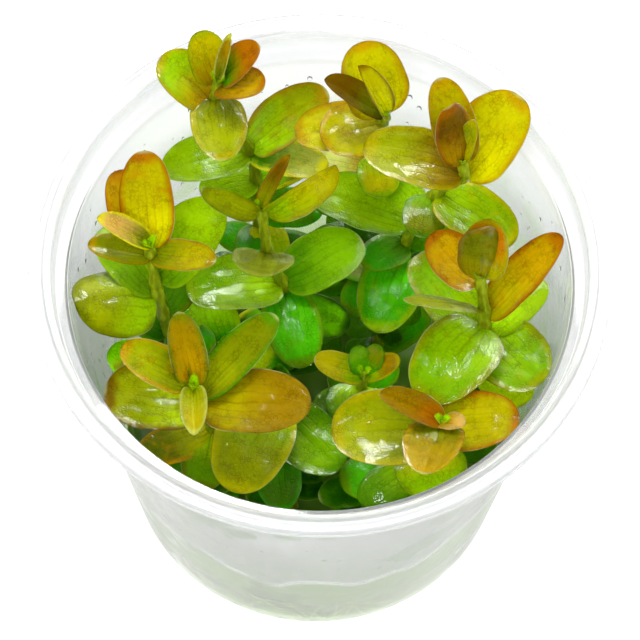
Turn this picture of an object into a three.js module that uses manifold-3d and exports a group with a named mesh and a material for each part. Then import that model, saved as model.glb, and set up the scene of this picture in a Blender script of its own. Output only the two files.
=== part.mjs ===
// Lemon bacopa grown in gel, in its round plastic culture cup.
// Millimetres, +Z up. The origin is the centre of the cup's flat base.
import * as THREE from "three";
import { mergeVertices } from "three/addons/utils/BufferGeometryUtils.js";
import Module from "manifold-3d";

const wasm = await Module();
wasm.setup();

// Cup: a tapered wall, a ledge for the lid, and a flange that rolls down at its edge.
const RIM_RADIUS = 50;
const RIM_EDGE_HEIGHT = 81;
const BEAD_HEIGHT = 81.8;
const BEAD_OUTER_RADIUS = 47.3;
const BEAD_INNER_RADIUS = 46.3;
const LEDGE_HEIGHT = 76.5;
const LEDGE_RADIUS = 44.3;
const BASE_RADIUS = 35.6;
const BASE_CORNER = 1.6;
const WALL = 0.8;
const FLOOR = 1.2;
const CUP_SIDES = 40;

// Gel in the bottom of the cup. The stems stand a little way into it.
const GEL_TOP = 14;

// Stems and leaves.
const STEM_FOOT_RADIUS = 1.5;
const STEM_TIP_RADIUS = 0.9;
const STEM_SIDES = 6;
const STEM_STEPS = 7;
const LEAF_THICKNESS = 0.8;
const LEAF_STATIONS = [0.02, 0.18, 0.42, 0.68, 0.9];
const SMALL_LEAF_STATIONS = [0.03, 0.3, 0.62, 0.88];
const WIDEST_POWER = 0.85;
const ROUNDNESS = 2.2;
const GAP = 0.3;

// Points of a leaf's section: place across the width, and height off the mid sheet in half thicknesses.
const LEAF_SECTION = [[1, 0], [0.5, 0.85], [0, 1], [-0.5, 0.85], [-1, 0], [0, -1]];
const SMALL_LEAF_SECTION = [[1, 0], [0, 1], [-1, 0], [0, -1]];

// Colours by age: old leaves are green, young ones at the top turn yellow, orange and bronze.
const TONES = {
  green: { color: 0x6fa60f, roughness: 0.32 },
  lime: { color: 0x9cb512, roughness: 0.35 },
  yellow: { color: 0xcfc20f, roughness: 0.38 },
  orange: { color: 0xcf8a14, roughness: 0.4 },
  bronze: { color: 0x8a5208, roughness: 0.42 },
};
const STEM_LOOK = { color: 0x6b7a16, roughness: 0.45 };
const CUP_LOOK = { color: 0xe9eeec, roughness: 0.3 };
const GEL_LOOK = { color: 0xd5dfc0, roughness: 0.2 };

// Each shoot has its stem's path from the gel up, its larger leaves and its fused, small ones.
// A leaf leaves the stem at the height `at`, in the compass direction `turn` (0 is +X, 90 is +Y).
// `rise` is its mean slope and `bend` the change of slope along it. `fold` and `cup` lift its sides,
// or, below zero, drop them, and `roll` tips it about its midrib. Angles are degrees.
const SHOOTS = [
  {
    name: "back_left",
    stem: [[-8, 22, 11], [-11.5, 30, 38], [-13.4, 33.2, 60], [-19.3, 32.6, 77], [-18.6, 33.6, 85]],
    leaves: [
      { at: 79, turn: 162, rise: 38, long: 11.5, wide: 10.5, bend: -25, cup: 20, tone: "lime" },
      { at: 83, turn: 116, rise: 44, long: 9, wide: 7.5, bend: -20, cup: 25, tone: "yellow" },
      { at: 84.5, turn: 18, rise: 53, long: 10, wide: 7, bend: -10, cup: 30, tone: "orange" },
      { at: 83.5, turn: -27, rise: 37, long: 9.5, wide: 8, bend: -20, cup: 25, tone: "orange" },
      { at: 80, turn: -82, rise: 13, long: 13.5, wide: 10, bend: -30, cup: 15, tone: "lime" },
      { at: 60, turn: -158, rise: 10, long: 15.5, wide: 10, bend: -30, cup: 20, tone: "green" },
      { at: 61, turn: 26, rise: 33, long: 17, wide: 10.5, bend: -25, cup: 20, tone: "lime" },
    ],
    grown: [
      { at: 84.5, turn: 66, rise: 58, long: 10, wide: 3.5, fold: 50 },
      { at: 60, turn: -16, rise: 6, long: 15, wide: 8, bend: -20, cup: 10 },
      { at: 51, turn: -160, rise: 6, long: 11, wide: 8, bend: -20 },
      { at: 51, turn: 20, rise: 10, long: 11, wide: 8, bend: -20 },
      { at: 38, turn: -70, rise: 5, long: 10, wide: 8, bend: -20 },
    ],
  },
  {
    name: "back",
    stem: [[5, 20, 11], [8, 30, 42], [10, 33.5, 68], [10.8, 31.6, 78]],
    leaves: [
      { at: 75.5, turn: 121, rise: 43, long: 13, wide: 13.5, bend: -15, cup: 30, tone: "yellow" },
      { at: 74.5, turn: 172, rise: 33, long: 12.5, wide: 6.5, fold: 35, tone: "bronze" },
      { at: 72.5, turn: -148, rise: 14, long: 11, wide: 11.5, bend: -25, cup: 15, tone: "yellow" },
      { at: 70, turn: -163, rise: 15, long: 15, wide: 10.5, bend: -30, cup: 20, tone: "orange" },
    ],
    grown: [
      { at: 77, turn: 146, rise: 60, long: 12.5, wide: 6.5, fold: 45 },
      { at: 60, turn: -80, rise: 2, long: 9, wide: 8, bend: -20 },
      { at: 56, turn: 176, rise: 8, long: 12, wide: 8, bend: -20 },
      { at: 40, turn: -80, rise: 5, long: 9, wide: 7, bend: -20 },
    ],
  },
  {
    name: "back_right",
    stem: [[10, 11, 11], [14.5, 19, 42], [17, 23, 55], [21, 23, 66], [24.8, 21, 76], [24, 21.8, 80]],
    leaves: [
      { at: 76, turn: 176, rise: 19, long: 17.5, wide: 12, bend: -25, cup: 25, tone: "yellow" },
      { at: 74, turn: 51, rise: 32, long: 16.5, wide: 13, bend: -20, cup: 20, tone: "yellow" },
      { at: 78, turn: 114, rise: 46, long: 15.5, wide: 8.5, bend: -10, cup: 30, tone: "orange" },
      { at: 79, turn: -52, rise: 116, long: 14.5, wide: 8, bend: 10, cup: 40, tone: "bronze" },
      { at: 65, turn: -37, rise: 2, long: 15.5, wide: 11, bend: -25, cup: 15, tone: "lime" },
      { at: 54, turn: 169, rise: 12, long: 18, wide: 11.5, bend: -30, cup: 20, tone: "green" },
      { at: 46, turn: -105, rise: 7, long: 16.5, wide: 12, bend: -25, cup: 20, tone: "green" },
    ],
    grown: [
      { at: 79.5, turn: 62, rise: 66, long: 9.5, wide: 4.5, fold: 35 },
      { at: 63, turn: -106, rise: 12, long: 10, wide: 8.5, bend: -25 },
      { at: 58, turn: 140, rise: 8, long: 9, wide: 7, bend: -20 },
      { at: 42, turn: 176, rise: 5, long: 13, wide: 8, bend: -20 },
    ],
  },
  {
    name: "right",
    stem: [[22, -6, 11], [27, -4.5, 42], [29, -4, 66], [27.3, -0.5, 80]],
    leaves: [
      { at: 79, turn: -79, rise: 108, long: 14, wide: 8.5, bend: 15, cup: 45, tone: "bronze" },
      { at: 77, turn: 142, rise: 22, long: 11, wide: 9.5, bend: 20, cup: 30, tone: "orange" },
      { at: 69, turn: 37, rise: 44, long: 19.5, wide: 8, bend: -10, fold: 20, tone: "orange" },
      { at: 71, turn: -172, rise: 28, long: 14.5, wide: 8, bend: -25, roll: 45, tone: "lime" },
      { at: 67, turn: -130, rise: 7, long: 18, wide: 13.5, bend: -35, cup: 15, tone: "green" },
      { at: 64.5, turn: -50, rise: 10, long: 13.2, wide: 13.6, bend: -25, cup: 15, tone: "lime" },
      { at: 63, turn: 130, rise: 8, long: 17.5, wide: 12, bend: -25, cup: 20, tone: "lime" },
    ],
    grown: [
      { at: 79, turn: 80, rise: 66, long: 13, wide: 9, bend: -10, cup: 35 },
      { at: 65, turn: 44, rise: 4, long: 14.5, wide: 9, bend: -20, cup: 15 },
      { at: 58, turn: -54, rise: 4, long: 13.5, wide: 10, bend: -20 },
      { at: 50, turn: -130, rise: 8, long: 12, wide: 9, bend: -20 },
      { at: 42, turn: 150, rise: 5, long: 11, wide: 8, bend: -20 },
    ],
  },
  {
    name: "front_right",
    stem: [[13, -17, 11], [17.5, -22, 42], [20, -23.5, 64], [21.8, -24.4, 71]],
    leaves: [
      { at: 66, turn: -172, rise: 8, long: 16.5, wide: 15, bend: -15, cup: 25, tone: "yellow" },
      { at: 66, turn: 1, rise: 22, long: 13.7, wide: 11.2, bend: -20, cup: 20, tone: "yellow" },
      { at: 70, turn: -97, rise: 30, long: 13, wide: 10, bend: -20, fold: 15, tone: "orange" },
      { at: 58, turn: -80, rise: 10, long: 10.2, wide: 12.8, bend: -20, cup: 15, tone: "green" },
    ],
    grown: [
      { at: 70, turn: 169, rise: 30, long: 13, wide: 6, fold: 50 },
      { at: 70.5, turn: -125, rise: 38, long: 5.5, wide: 4, fold: 45 },
      { at: 47, turn: -140, rise: 6, long: 13, wide: 8, bend: -20 },
      { at: 43, turn: -160, rise: 4, long: 18, wide: 8, bend: -20 },
      { at: 52, turn: 60, rise: 5, long: 11, wide: 8, bend: -20 },
    ],
  },
  {
    name: "front_left",
    stem: [[-13, -12, 11], [-17.5, -17, 42], [-19.4, -19.8, 64], [-21.5, -18.6, 71]],
    leaves: [
      { at: 70.8, turn: 163, rise: 27, long: 12.5, wide: 8, bend: -15, cup: 20, tone: "orange" },
      { at: 69.5, turn: 106, rise: 40, long: 12.5, wide: 8.5, fold: 30, tone: "orange" },
      { at: 66, turn: -9, rise: 18, long: 18.5, wide: 12.5, bend: -15, cup: 15, tone: "yellow" },
      { at: 65, turn: 177, rise: 4, long: 16, wide: 13.5, bend: -25, cup: 20, tone: "green" },
      { at: 67, turn: 45, rise: 22, long: 18, wide: 8, bend: -10, fold: 20, tone: "lime" },
    ],
    grown: [
      { at: 70, turn: -86, rise: 28, long: 13.5, wide: 5.5, fold: 30 },
      { at: 63, turn: 150, rise: 8, long: 20, wide: 10, bend: -20, cup: 15 },
      { at: 52, turn: -97, rise: 8, long: 13, wide: 9, bend: -20 },
      { at: 52, turn: -150, rise: 10, long: 15, wide: 8, bend: -20 },
      { at: 42, turn: 70, rise: 5, long: 9, wide: 7, bend: -20 },
    ],
  },
  {
    name: "centre",
    stem: [[-6, 5, 11], [-7.5, 8, 40], [-6.8, 9, 54], [-9.3, 9.3, 66], [-10.5, 12.6, 78]],
    leaves: [
      { at: 76, turn: 22, rise: 38, long: 15, wide: 12, fold: 32, roll: 58, tone: "orange" },
      { at: 76, turn: 180, rise: 45, long: 12.5, wide: 6.5, fold: 30, roll: -45, tone: "orange" },
      { at: 67, turn: -97, rise: 48, long: 13, wide: 11, bend: -10, cup: 20, tone: "lime" },
      { at: 55.7, turn: -158, rise: 22, long: 17.5, wide: 12, bend: -30, cup: 25, tone: "green" },
      { at: 55, turn: 26, rise: 14, long: 15, wide: 11.5, bend: -25, cup: 15, tone: "green" },
      { at: 53, turn: -75, rise: 2, long: 15, wide: 10.5, bend: -25, cup: 15, tone: "green" },
    ],
    grown: [
      { at: 77.5, turn: 50, rise: 50, long: 11.5, wide: 4.5, fold: 50 },
      { at: 46, turn: -18, rise: 6, long: 13.5, wide: 9, bend: -20 },
      { at: 43, turn: 215, rise: 5, long: 10, wide: 8, bend: -20 },
      { at: 38, turn: 100, rise: 5, long: 10, wide: 8, bend: -20 },
    ],
  },
  {
    name: "left",
    stem: [[-21, 2, 11], [-26, 1, 42], [-28.3, 0, 68], [-29.2, 2, 78], [-29.4, 3.6, 81]],
    leaves: [
      { at: 79, turn: 98, rise: 26, long: 16, wide: 8.5, bend: -20, cup: 20, tone: "yellow" },
      { at: 77, turn: 124, rise: 30, long: 16, wide: 8.5, bend: -20, cup: 25, tone: "orange" },
      { at: 78.5, turn: -17, rise: 25, long: 11.5, wide: 6.5, bend: -15, cup: 25, tone: "yellow" },
      { at: 66.5, turn: -160, rise: 29, long: 15.4, wide: 14.5, bend: -25, cup: -40, tone: "lime" },
      { at: 71.5, turn: 48, rise: 26, long: 16.4, wide: 12, bend: -30, cup: 20, tone: "lime" },
    ],
    grown: [
      { at: 80, turn: 172, rise: 34, long: 11, wide: 6, fold: 40 },
      { at: 78, turn: -178, rise: 22, long: 11.5, wide: 6, fold: 20 },
      { at: 68.5, turn: 136, rise: 12, long: 15, wide: 9.5, bend: -20, cup: 15 },
      { at: 60, turn: 66, rise: 4, long: 12, wide: 8, bend: -20 },
      { at: 48, turn: 30, rise: 5, long: 13, wide: 8, bend: -20 },
      { at: 45, turn: -80, rise: 5, long: 11, wide: 8, bend: -20 },
    ],
  },
  {
    name: "small",
    stem: [[5, -5, 11], [7, -8, 38], [8.3, -9.6, 58]],
    leaves: [],
    grown: [
      { at: 56.5, turn: 179, rise: 32, long: 10.5, wide: 6, fold: 10 },
      { at: 56.5, turn: 5, rise: 42, long: 8.5, wide: 5, fold: 10 },
      { at: 57, turn: 118, rise: 52, long: 6, wide: 4.5, cup: 20 },
      { at: 57, turn: 52, rise: 46, long: 6.5, wide: 4.5, cup: 20 },
      { at: 51, turn: -98, rise: 6, long: 9, wide: 11.5, bend: -25, cup: 15 },
      { at: 42, turn: 110, rise: 5, long: 9, wide: 8, bend: -20 },
    ],
  },
  {
    name: "front",
    stem: [[-4, -17, 11], [-7, -15, 36], [-8, -14.6, 57]],
    leaves: [
      { at: 56, turn: -108, rise: 6, long: 18, wide: 14, bend: -20, cup: 15, tone: "lime" },
      { at: 51, turn: -42, rise: 4, long: 15, wide: 12, bend: -20, cup: 15, tone: "green" },
    ],
    grown: [
      { at: 50, turn: 95, rise: 8, long: 10, wide: 8, bend: -20 },
      { at: 38, turn: -85, rise: 20, long: 17, wide: 8.5, bend: 20, cup: 15 },
      { at: 38, turn: 200, rise: 5, long: 10, wide: 8, bend: -20 },
      { at: 36, turn: 20, rise: 5, long: 10, wide: 8, bend: -20 },
    ],
  },
  {
    name: "middle",
    stem: [[-16, -2, 11], [-17, -3, 36], [-17, -2, 52]],
    leaves: [],
    grown: [
      { at: 51, turn: 112, rise: 12, long: 11, wide: 9, bend: -25, cup: 20 },
      { at: 51, turn: -20, rise: 12, long: 11, wide: 8, bend: -20 },
      { at: 40, turn: 160, rise: 5, long: 9, wide: 8, bend: -20 },
      { at: 40, turn: -75, rise: 5, long: 9, wide: 8, bend: -20 },
    ],
  },
];

const radians = THREE.MathUtils.degToRad;

// A closed body lofted through rings of equal point count. Its last ring may shrink to one point.
function loftThrough(rings, tip) {
  const count = rings[0].length;
  const points = rings.flat();
  const faces = [];
  for (let ring = 0; ring + 1 < rings.length; ring += 1) {
    for (let side = 0; side < count; side += 1) {
      const a = ring * count + side;
      const b = ring * count + (side + 1) % count;
      faces.push(a, b, b + count, a, b + count, a + count);
    }
  }
  for (let side = 1; side + 1 < count; side += 1) {
    faces.push(0, side + 1, side);
  }
  const last = (rings.length - 1) * count;
  if (tip) {
    points.push(tip);
    for (let side = 0; side < count; side += 1) {
      faces.push(last + side, last + (side + 1) % count, points.length - 1);
    }
  } else {
    for (let side = 1; side + 1 < count; side += 1) {
      faces.push(last, last + side, last + side + 1);
    }
  }
  const geometry = new THREE.BufferGeometry().setFromPoints(points);
  geometry.setIndex(faces);
  return geometry;
}

function solidOf(geometry) {
  const bare = geometry.clone();
  bare.deleteAttribute("normal");
  bare.deleteAttribute("uv");
  const merged = mergeVertices(bare, 1e-5);
  const mesh = new wasm.Mesh({
    numProp: 3,
    vertProperties: new Float32Array(merged.attributes.position.array),
    triVerts: new Uint32Array(merged.index.array),
  });
  return new wasm.Manifold(mesh);
}

function geometryOf(solid) {
  const mesh = solid.getMesh();
  const geometry = new THREE.BufferGeometry();
  geometry.setAttribute("position", new THREE.BufferAttribute(new Float32Array(mesh.vertProperties), 3));
  geometry.setIndex(new THREE.BufferAttribute(new Uint32Array(mesh.triVerts), 1));
  geometry.computeVertexNormals();
  return geometry;
}

function largestBody(solid) {
  const bodies = solid.decompose();
  return bodies.reduce((best, body) => (body.volume() > best.volume() ? body : best));
}

function boxesMeet(a, b) {
  const first = a.boundingBox();
  const second = b.boundingBox();
  return [0, 1, 2].every((k) => first.min[k] < second.max[k] && second.min[k] < first.max[k]);
}

// Point of the stem's axis at a height.
function stemAxisAt(curve, height) {
  let low = 0;
  let high = 1;
  for (let step = 0; step < 24; step += 1) {
    const middle = (low + high) / 2;
    if (curve.getPoint(middle).z < height) {
      low = middle;
    } else {
      high = middle;
    }
  }
  return curve.getPoint(low);
}

function stemCurve(shoot) {
  return new THREE.CatmullRomCurve3(shoot.stem.map((point) => new THREE.Vector3(...point)));
}

// The stem is thickest at its foot. `extra` swells it, to cut a clear space round it.
function stemTube(shoot, extra) {
  const curve = stemCurve(shoot);
  const rings = [];
  for (let step = 0; step <= STEM_STEPS; step += 1) {
    const along = step / STEM_STEPS;
    const centre = curve.getPoint(along);
    const radius = THREE.MathUtils.lerp(STEM_FOOT_RADIUS, STEM_TIP_RADIUS, along) + extra;
    const lift = (along === 0 ? -extra : 0) + (along === 1 ? extra : 0);
    const ring = [];
    for (let side = 0; side < STEM_SIDES; side += 1) {
      const angle = (2 * Math.PI * side) / STEM_SIDES;
      const offset = new THREE.Vector3(radius * Math.cos(angle), radius * Math.sin(angle), lift);
      ring.push(offset.add(centre));
    }
    rings.push(ring);
  }
  return loftThrough(rings);
}

// Half the leaf's width at a station: round, and widest a little below the middle.
function leafHalfWidth(leaf, station) {
  const across = Math.abs(2 * station ** WIDEST_POWER - 1) ** ROUNDNESS;
  return (leaf.wide / 2) * Math.max(1 - across, 0) ** (1 / ROUNDNESS);
}

// Place and slope of the midrib at a station, in the leaf's own upright plane.
function midrib(leaf, station) {
  const turn = radians(leaf.bend || 0.1);
  const start = radians(leaf.rise) - turn / 2;
  const slope = start + turn * station;
  const out = ((Math.sin(slope) - Math.sin(start)) / turn) * leaf.long;
  const up = ((Math.cos(start) - Math.cos(slope)) / turn) * leaf.long;
  return { out, up, slope };
}

// Point on the leaf. `across` runs from -1 to 1 over its width, `off` is the distance off its mid sheet.
function leafPoint(leaf, foot, station, across, off, halfWidth) {
  const { out, up, slope } = midrib(leaf, station);
  const heading = radians(leaf.turn);
  const ahead = new THREE.Vector3(Math.cos(heading), Math.sin(heading), 0);
  const side = new THREE.Vector3(-Math.sin(heading), Math.cos(heading), 0);
  const normal = ahead.clone().multiplyScalar(-Math.sin(slope)).setZ(Math.cos(slope));
  const reach = Math.abs(across);
  const lift = radians((leaf.fold || 0) + ((leaf.cup || 0) * reach) / 2);
  const slant = radians((leaf.fold || 0) * Math.min(4 * reach, 1) + (leaf.cup || 0) * reach);
  const sideways = halfWidth * across * Math.cos(lift) - off * Math.sin(slant) * Math.sign(across);
  const raised = halfWidth * reach * Math.sin(lift) + off * Math.cos(slant);
  const roll = radians(leaf.roll || 0);
  return foot.clone()
    .addScaledVector(ahead, out)
    .add(new THREE.Vector3(0, 0, up))
    .addScaledVector(side, sideways * Math.cos(roll) - raised * Math.sin(roll))
    .addScaledVector(normal, sideways * Math.sin(roll) + raised * Math.cos(roll));
}

// A leaf is a thin lens in section, swelled by `extra` on every side to cut a clear space.
function leafBody(leaf, foot, stations, section, extra) {
  const halfThickness = LEAF_THICKNESS / 2 + extra;
  const rings = stations.map((station) => {
    const halfWidth = leafHalfWidth(leaf, station) + extra;
    return section.map(([across, off]) => leafPoint(leaf, foot, station, across, off * halfThickness, halfWidth));
  });
  const tip = leafPoint(leaf, foot, 1 + extra / leaf.long, 0, 0, 0);
  return loftThrough(rings, tip);
}

// A leaf that is a node of its own starts just outside the stem. A grown one starts in its middle.
function leafFoot(curve, leaf, ownNode) {
  const foot = stemAxisAt(curve, leaf.at);
  const heading = radians(leaf.turn);
  const reach = ownNode ? STEM_TIP_RADIUS + GAP + LEAF_THICKNESS / 2 : 0;
  return foot.add(new THREE.Vector3(Math.cos(heading), Math.sin(heading), 0).multiplyScalar(reach));
}

function ownLeaf(curve, leaf, extra) {
  return solidOf(leafBody(leaf, leafFoot(curve, leaf, true), LEAF_STATIONS, LEAF_SECTION, extra));
}

function grownLeaf(curve, leaf, extra) {
  const foot = leafFoot(curve, leaf, false);
  return solidOf(leafBody(leaf, foot, SMALL_LEAF_STATIONS, SMALL_LEAF_SECTION, extra));
}

function stemWithGrownLeaves(shoot, extra) {
  const curve = stemCurve(shoot);
  return shoot.grown.reduce(
    (solid, leaf) => solid.add(grownLeaf(curve, leaf, extra)),
    solidOf(stemTube(shoot, extra)),
  );
}

function named(name, geometry, look) {
  const mesh = new THREE.Mesh(geometry, new THREE.MeshStandardMaterial({ metalness: 0, ...look }));
  mesh.name = name;
  return mesh;
}

// Outer radius of the tapered wall at a height.
function wallOutside(height) {
  return BASE_RADIUS + ((LEDGE_RADIUS - BASE_RADIUS) / LEDGE_HEIGHT) * height;
}

// Section of the cup's floor, wall and flange, from the middle of the base round to the floor inside.
function cupProfile() {
  return [
    [0, 0],
    [BASE_RADIUS - BASE_CORNER, 0],
    [wallOutside(BASE_CORNER), BASE_CORNER],
    [wallOutside(LEDGE_HEIGHT - 1.5), LEDGE_HEIGHT - 1.5],
    [BEAD_INNER_RADIUS - 0.2, LEDGE_HEIGHT],
    [BEAD_INNER_RADIUS + WALL - 0.3, RIM_EDGE_HEIGHT - 0.8],
    [RIM_RADIUS - 0.4, RIM_EDGE_HEIGHT - 1],
    [RIM_RADIUS, RIM_EDGE_HEIGHT],
    [RIM_RADIUS - 0.7, RIM_EDGE_HEIGHT + 0.5],
    [BEAD_OUTER_RADIUS, RIM_EDGE_HEIGHT + 0.45],
    [(BEAD_OUTER_RADIUS + BEAD_INNER_RADIUS) / 2, BEAD_HEIGHT],
    [BEAD_INNER_RADIUS, RIM_EDGE_HEIGHT + 0.4],
    [BEAD_INNER_RADIUS - 0.8, LEDGE_HEIGHT + 0.5],
    [wallOutside(LEDGE_HEIGHT) - WALL, LEDGE_HEIGHT - 0.3],
    [wallOutside(BASE_CORNER + FLOOR) - WALL, BASE_CORNER + FLOOR],
    [BASE_RADIUS - BASE_CORNER - WALL, FLOOR],
    [0, FLOOR],
  ];
}

// The gel fills the cup's foot, a hair clear of its wall.
function gelProfile() {
  return [
    [0, FLOOR + GAP],
    [BASE_RADIUS - BASE_CORNER - WALL - GAP, FLOOR + GAP],
    [wallOutside(BASE_CORNER + FLOOR) - WALL - GAP, BASE_CORNER + FLOOR + GAP],
    [wallOutside(GEL_TOP) - WALL - GAP, GEL_TOP],
    [0, GEL_TOP],
  ];
}

// A body turned about the upright axis.
function turned(profile) {
  const outline = profile.map(([radius, height]) => new THREE.Vector2(radius, height));
  return new THREE.LatheGeometry(outline, CUP_SIDES).rotateX(Math.PI / 2);
}

// The gel has a socket round the foot of each stem.
function gel() {
  const sockets = SHOOTS.map((shoot) => solidOf(stemTube(shoot, GAP)));
  return sockets.reduce((solid, socket) => solid.subtract(socket), solidOf(turned(gelProfile())));
}

const plant = new THREE.Group();
plant.add(named("cup", turned(cupProfile()), CUP_LOOK));
plant.add(named("gel", geometryOf(gel()), GEL_LOOK));

// Whatever is placed later gives way to what stands there already, by the clear gap.
const placed = [];

function place(name, solid, swelled, look) {
  const cutters = placed.filter((other) => boxesMeet(solid, other));
  const cut = cutters.reduce((left, other) => left.subtract(other), solid);
  plant.add(named(name, geometryOf(largestBody(cut)), look));
  placed.push(swelled);
}

for (const shoot of SHOOTS) {
  place(`stem_${shoot.name}`, stemWithGrownLeaves(shoot, 0), stemWithGrownLeaves(shoot, GAP), STEM_LOOK);
}
for (const shoot of SHOOTS) {
  const curve = stemCurve(shoot);
  shoot.leaves.forEach((leaf, index) => {
    const name = `leaf_${shoot.name}_${index + 1}`;
    place(name, ownLeaf(curve, leaf, 0), ownLeaf(curve, leaf, GAP), TONES[leaf.tone]);
  });
}

export default plant;
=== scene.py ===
"""Lemon bacopa shoots with red-gold tips, grown in gel in a round, milky plastic culture cup.

Metres, +Z up, with the origin at the centre of the cup's flat base. The sizes in the tables are millimetres.
"""

import math
import random

import bmesh
import bpy
from mathutils import Matrix, Vector


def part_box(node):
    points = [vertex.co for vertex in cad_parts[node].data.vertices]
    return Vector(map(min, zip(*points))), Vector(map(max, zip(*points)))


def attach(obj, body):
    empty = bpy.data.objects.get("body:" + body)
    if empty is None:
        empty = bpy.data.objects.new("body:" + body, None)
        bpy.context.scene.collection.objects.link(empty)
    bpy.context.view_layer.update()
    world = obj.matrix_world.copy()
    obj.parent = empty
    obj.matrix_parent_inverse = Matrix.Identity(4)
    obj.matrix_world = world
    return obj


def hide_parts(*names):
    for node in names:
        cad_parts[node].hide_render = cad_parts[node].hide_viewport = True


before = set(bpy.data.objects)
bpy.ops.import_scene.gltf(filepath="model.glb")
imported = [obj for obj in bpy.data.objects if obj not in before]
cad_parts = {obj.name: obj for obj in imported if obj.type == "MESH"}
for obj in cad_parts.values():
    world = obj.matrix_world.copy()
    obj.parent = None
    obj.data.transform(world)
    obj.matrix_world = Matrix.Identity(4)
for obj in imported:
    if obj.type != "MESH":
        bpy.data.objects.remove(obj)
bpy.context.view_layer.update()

bl_info = {
    "name": "Lemon bacopa in its culture cup",
    "version": (1, 0, 0),
    "blender": (4, 5, 0),
    "location": "3D View > Sidebar > Bacopa",
    "description": "Makes the cup, the growing gel and the shoots of lemon bacopa, and a plain stage",
    "category": "Object",
}

MM = 0.001
BODY = "root"

# Leaf colours by name, as red, green and blue from 0 to 255.
PAINTS = {
    "shade_green": (34, 96, 6),
    "deep_green": (78, 138, 8),
    "vivid_green": (66, 175, 8),
    "bright_green": (86, 215, 8),
    "green": (114, 166, 8),
    "fresh_green": (136, 232, 8),
    "leaf_green": (145, 187, 8),
    "lime": (164, 214, 8),
    "bright_lime": (176, 234, 8),
    "acid_yellow": (206, 238, 8),
    "lemon": (239, 238, 8),
    "yellow": (215, 209, 8),
    "lemon_lime": (190, 185, 8),
    "moss": (144, 155, 8),
    "olive": (116, 127, 8),
    "olive_yellow": (169, 159, 8),
    "ochre": (159, 130, 8),
    "tan": (183, 146, 8),
    "amber": (210, 154, 8),
    "orange": (206, 120, 10),
    "rust": (164, 98, 8),
    "bronze": (142, 111, 8),
    "umber": (114, 84, 8),
    "straw": (179, 185, 79),
    "pale": (241, 241, 146),
    "peach": (204, 166, 92),
}

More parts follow.
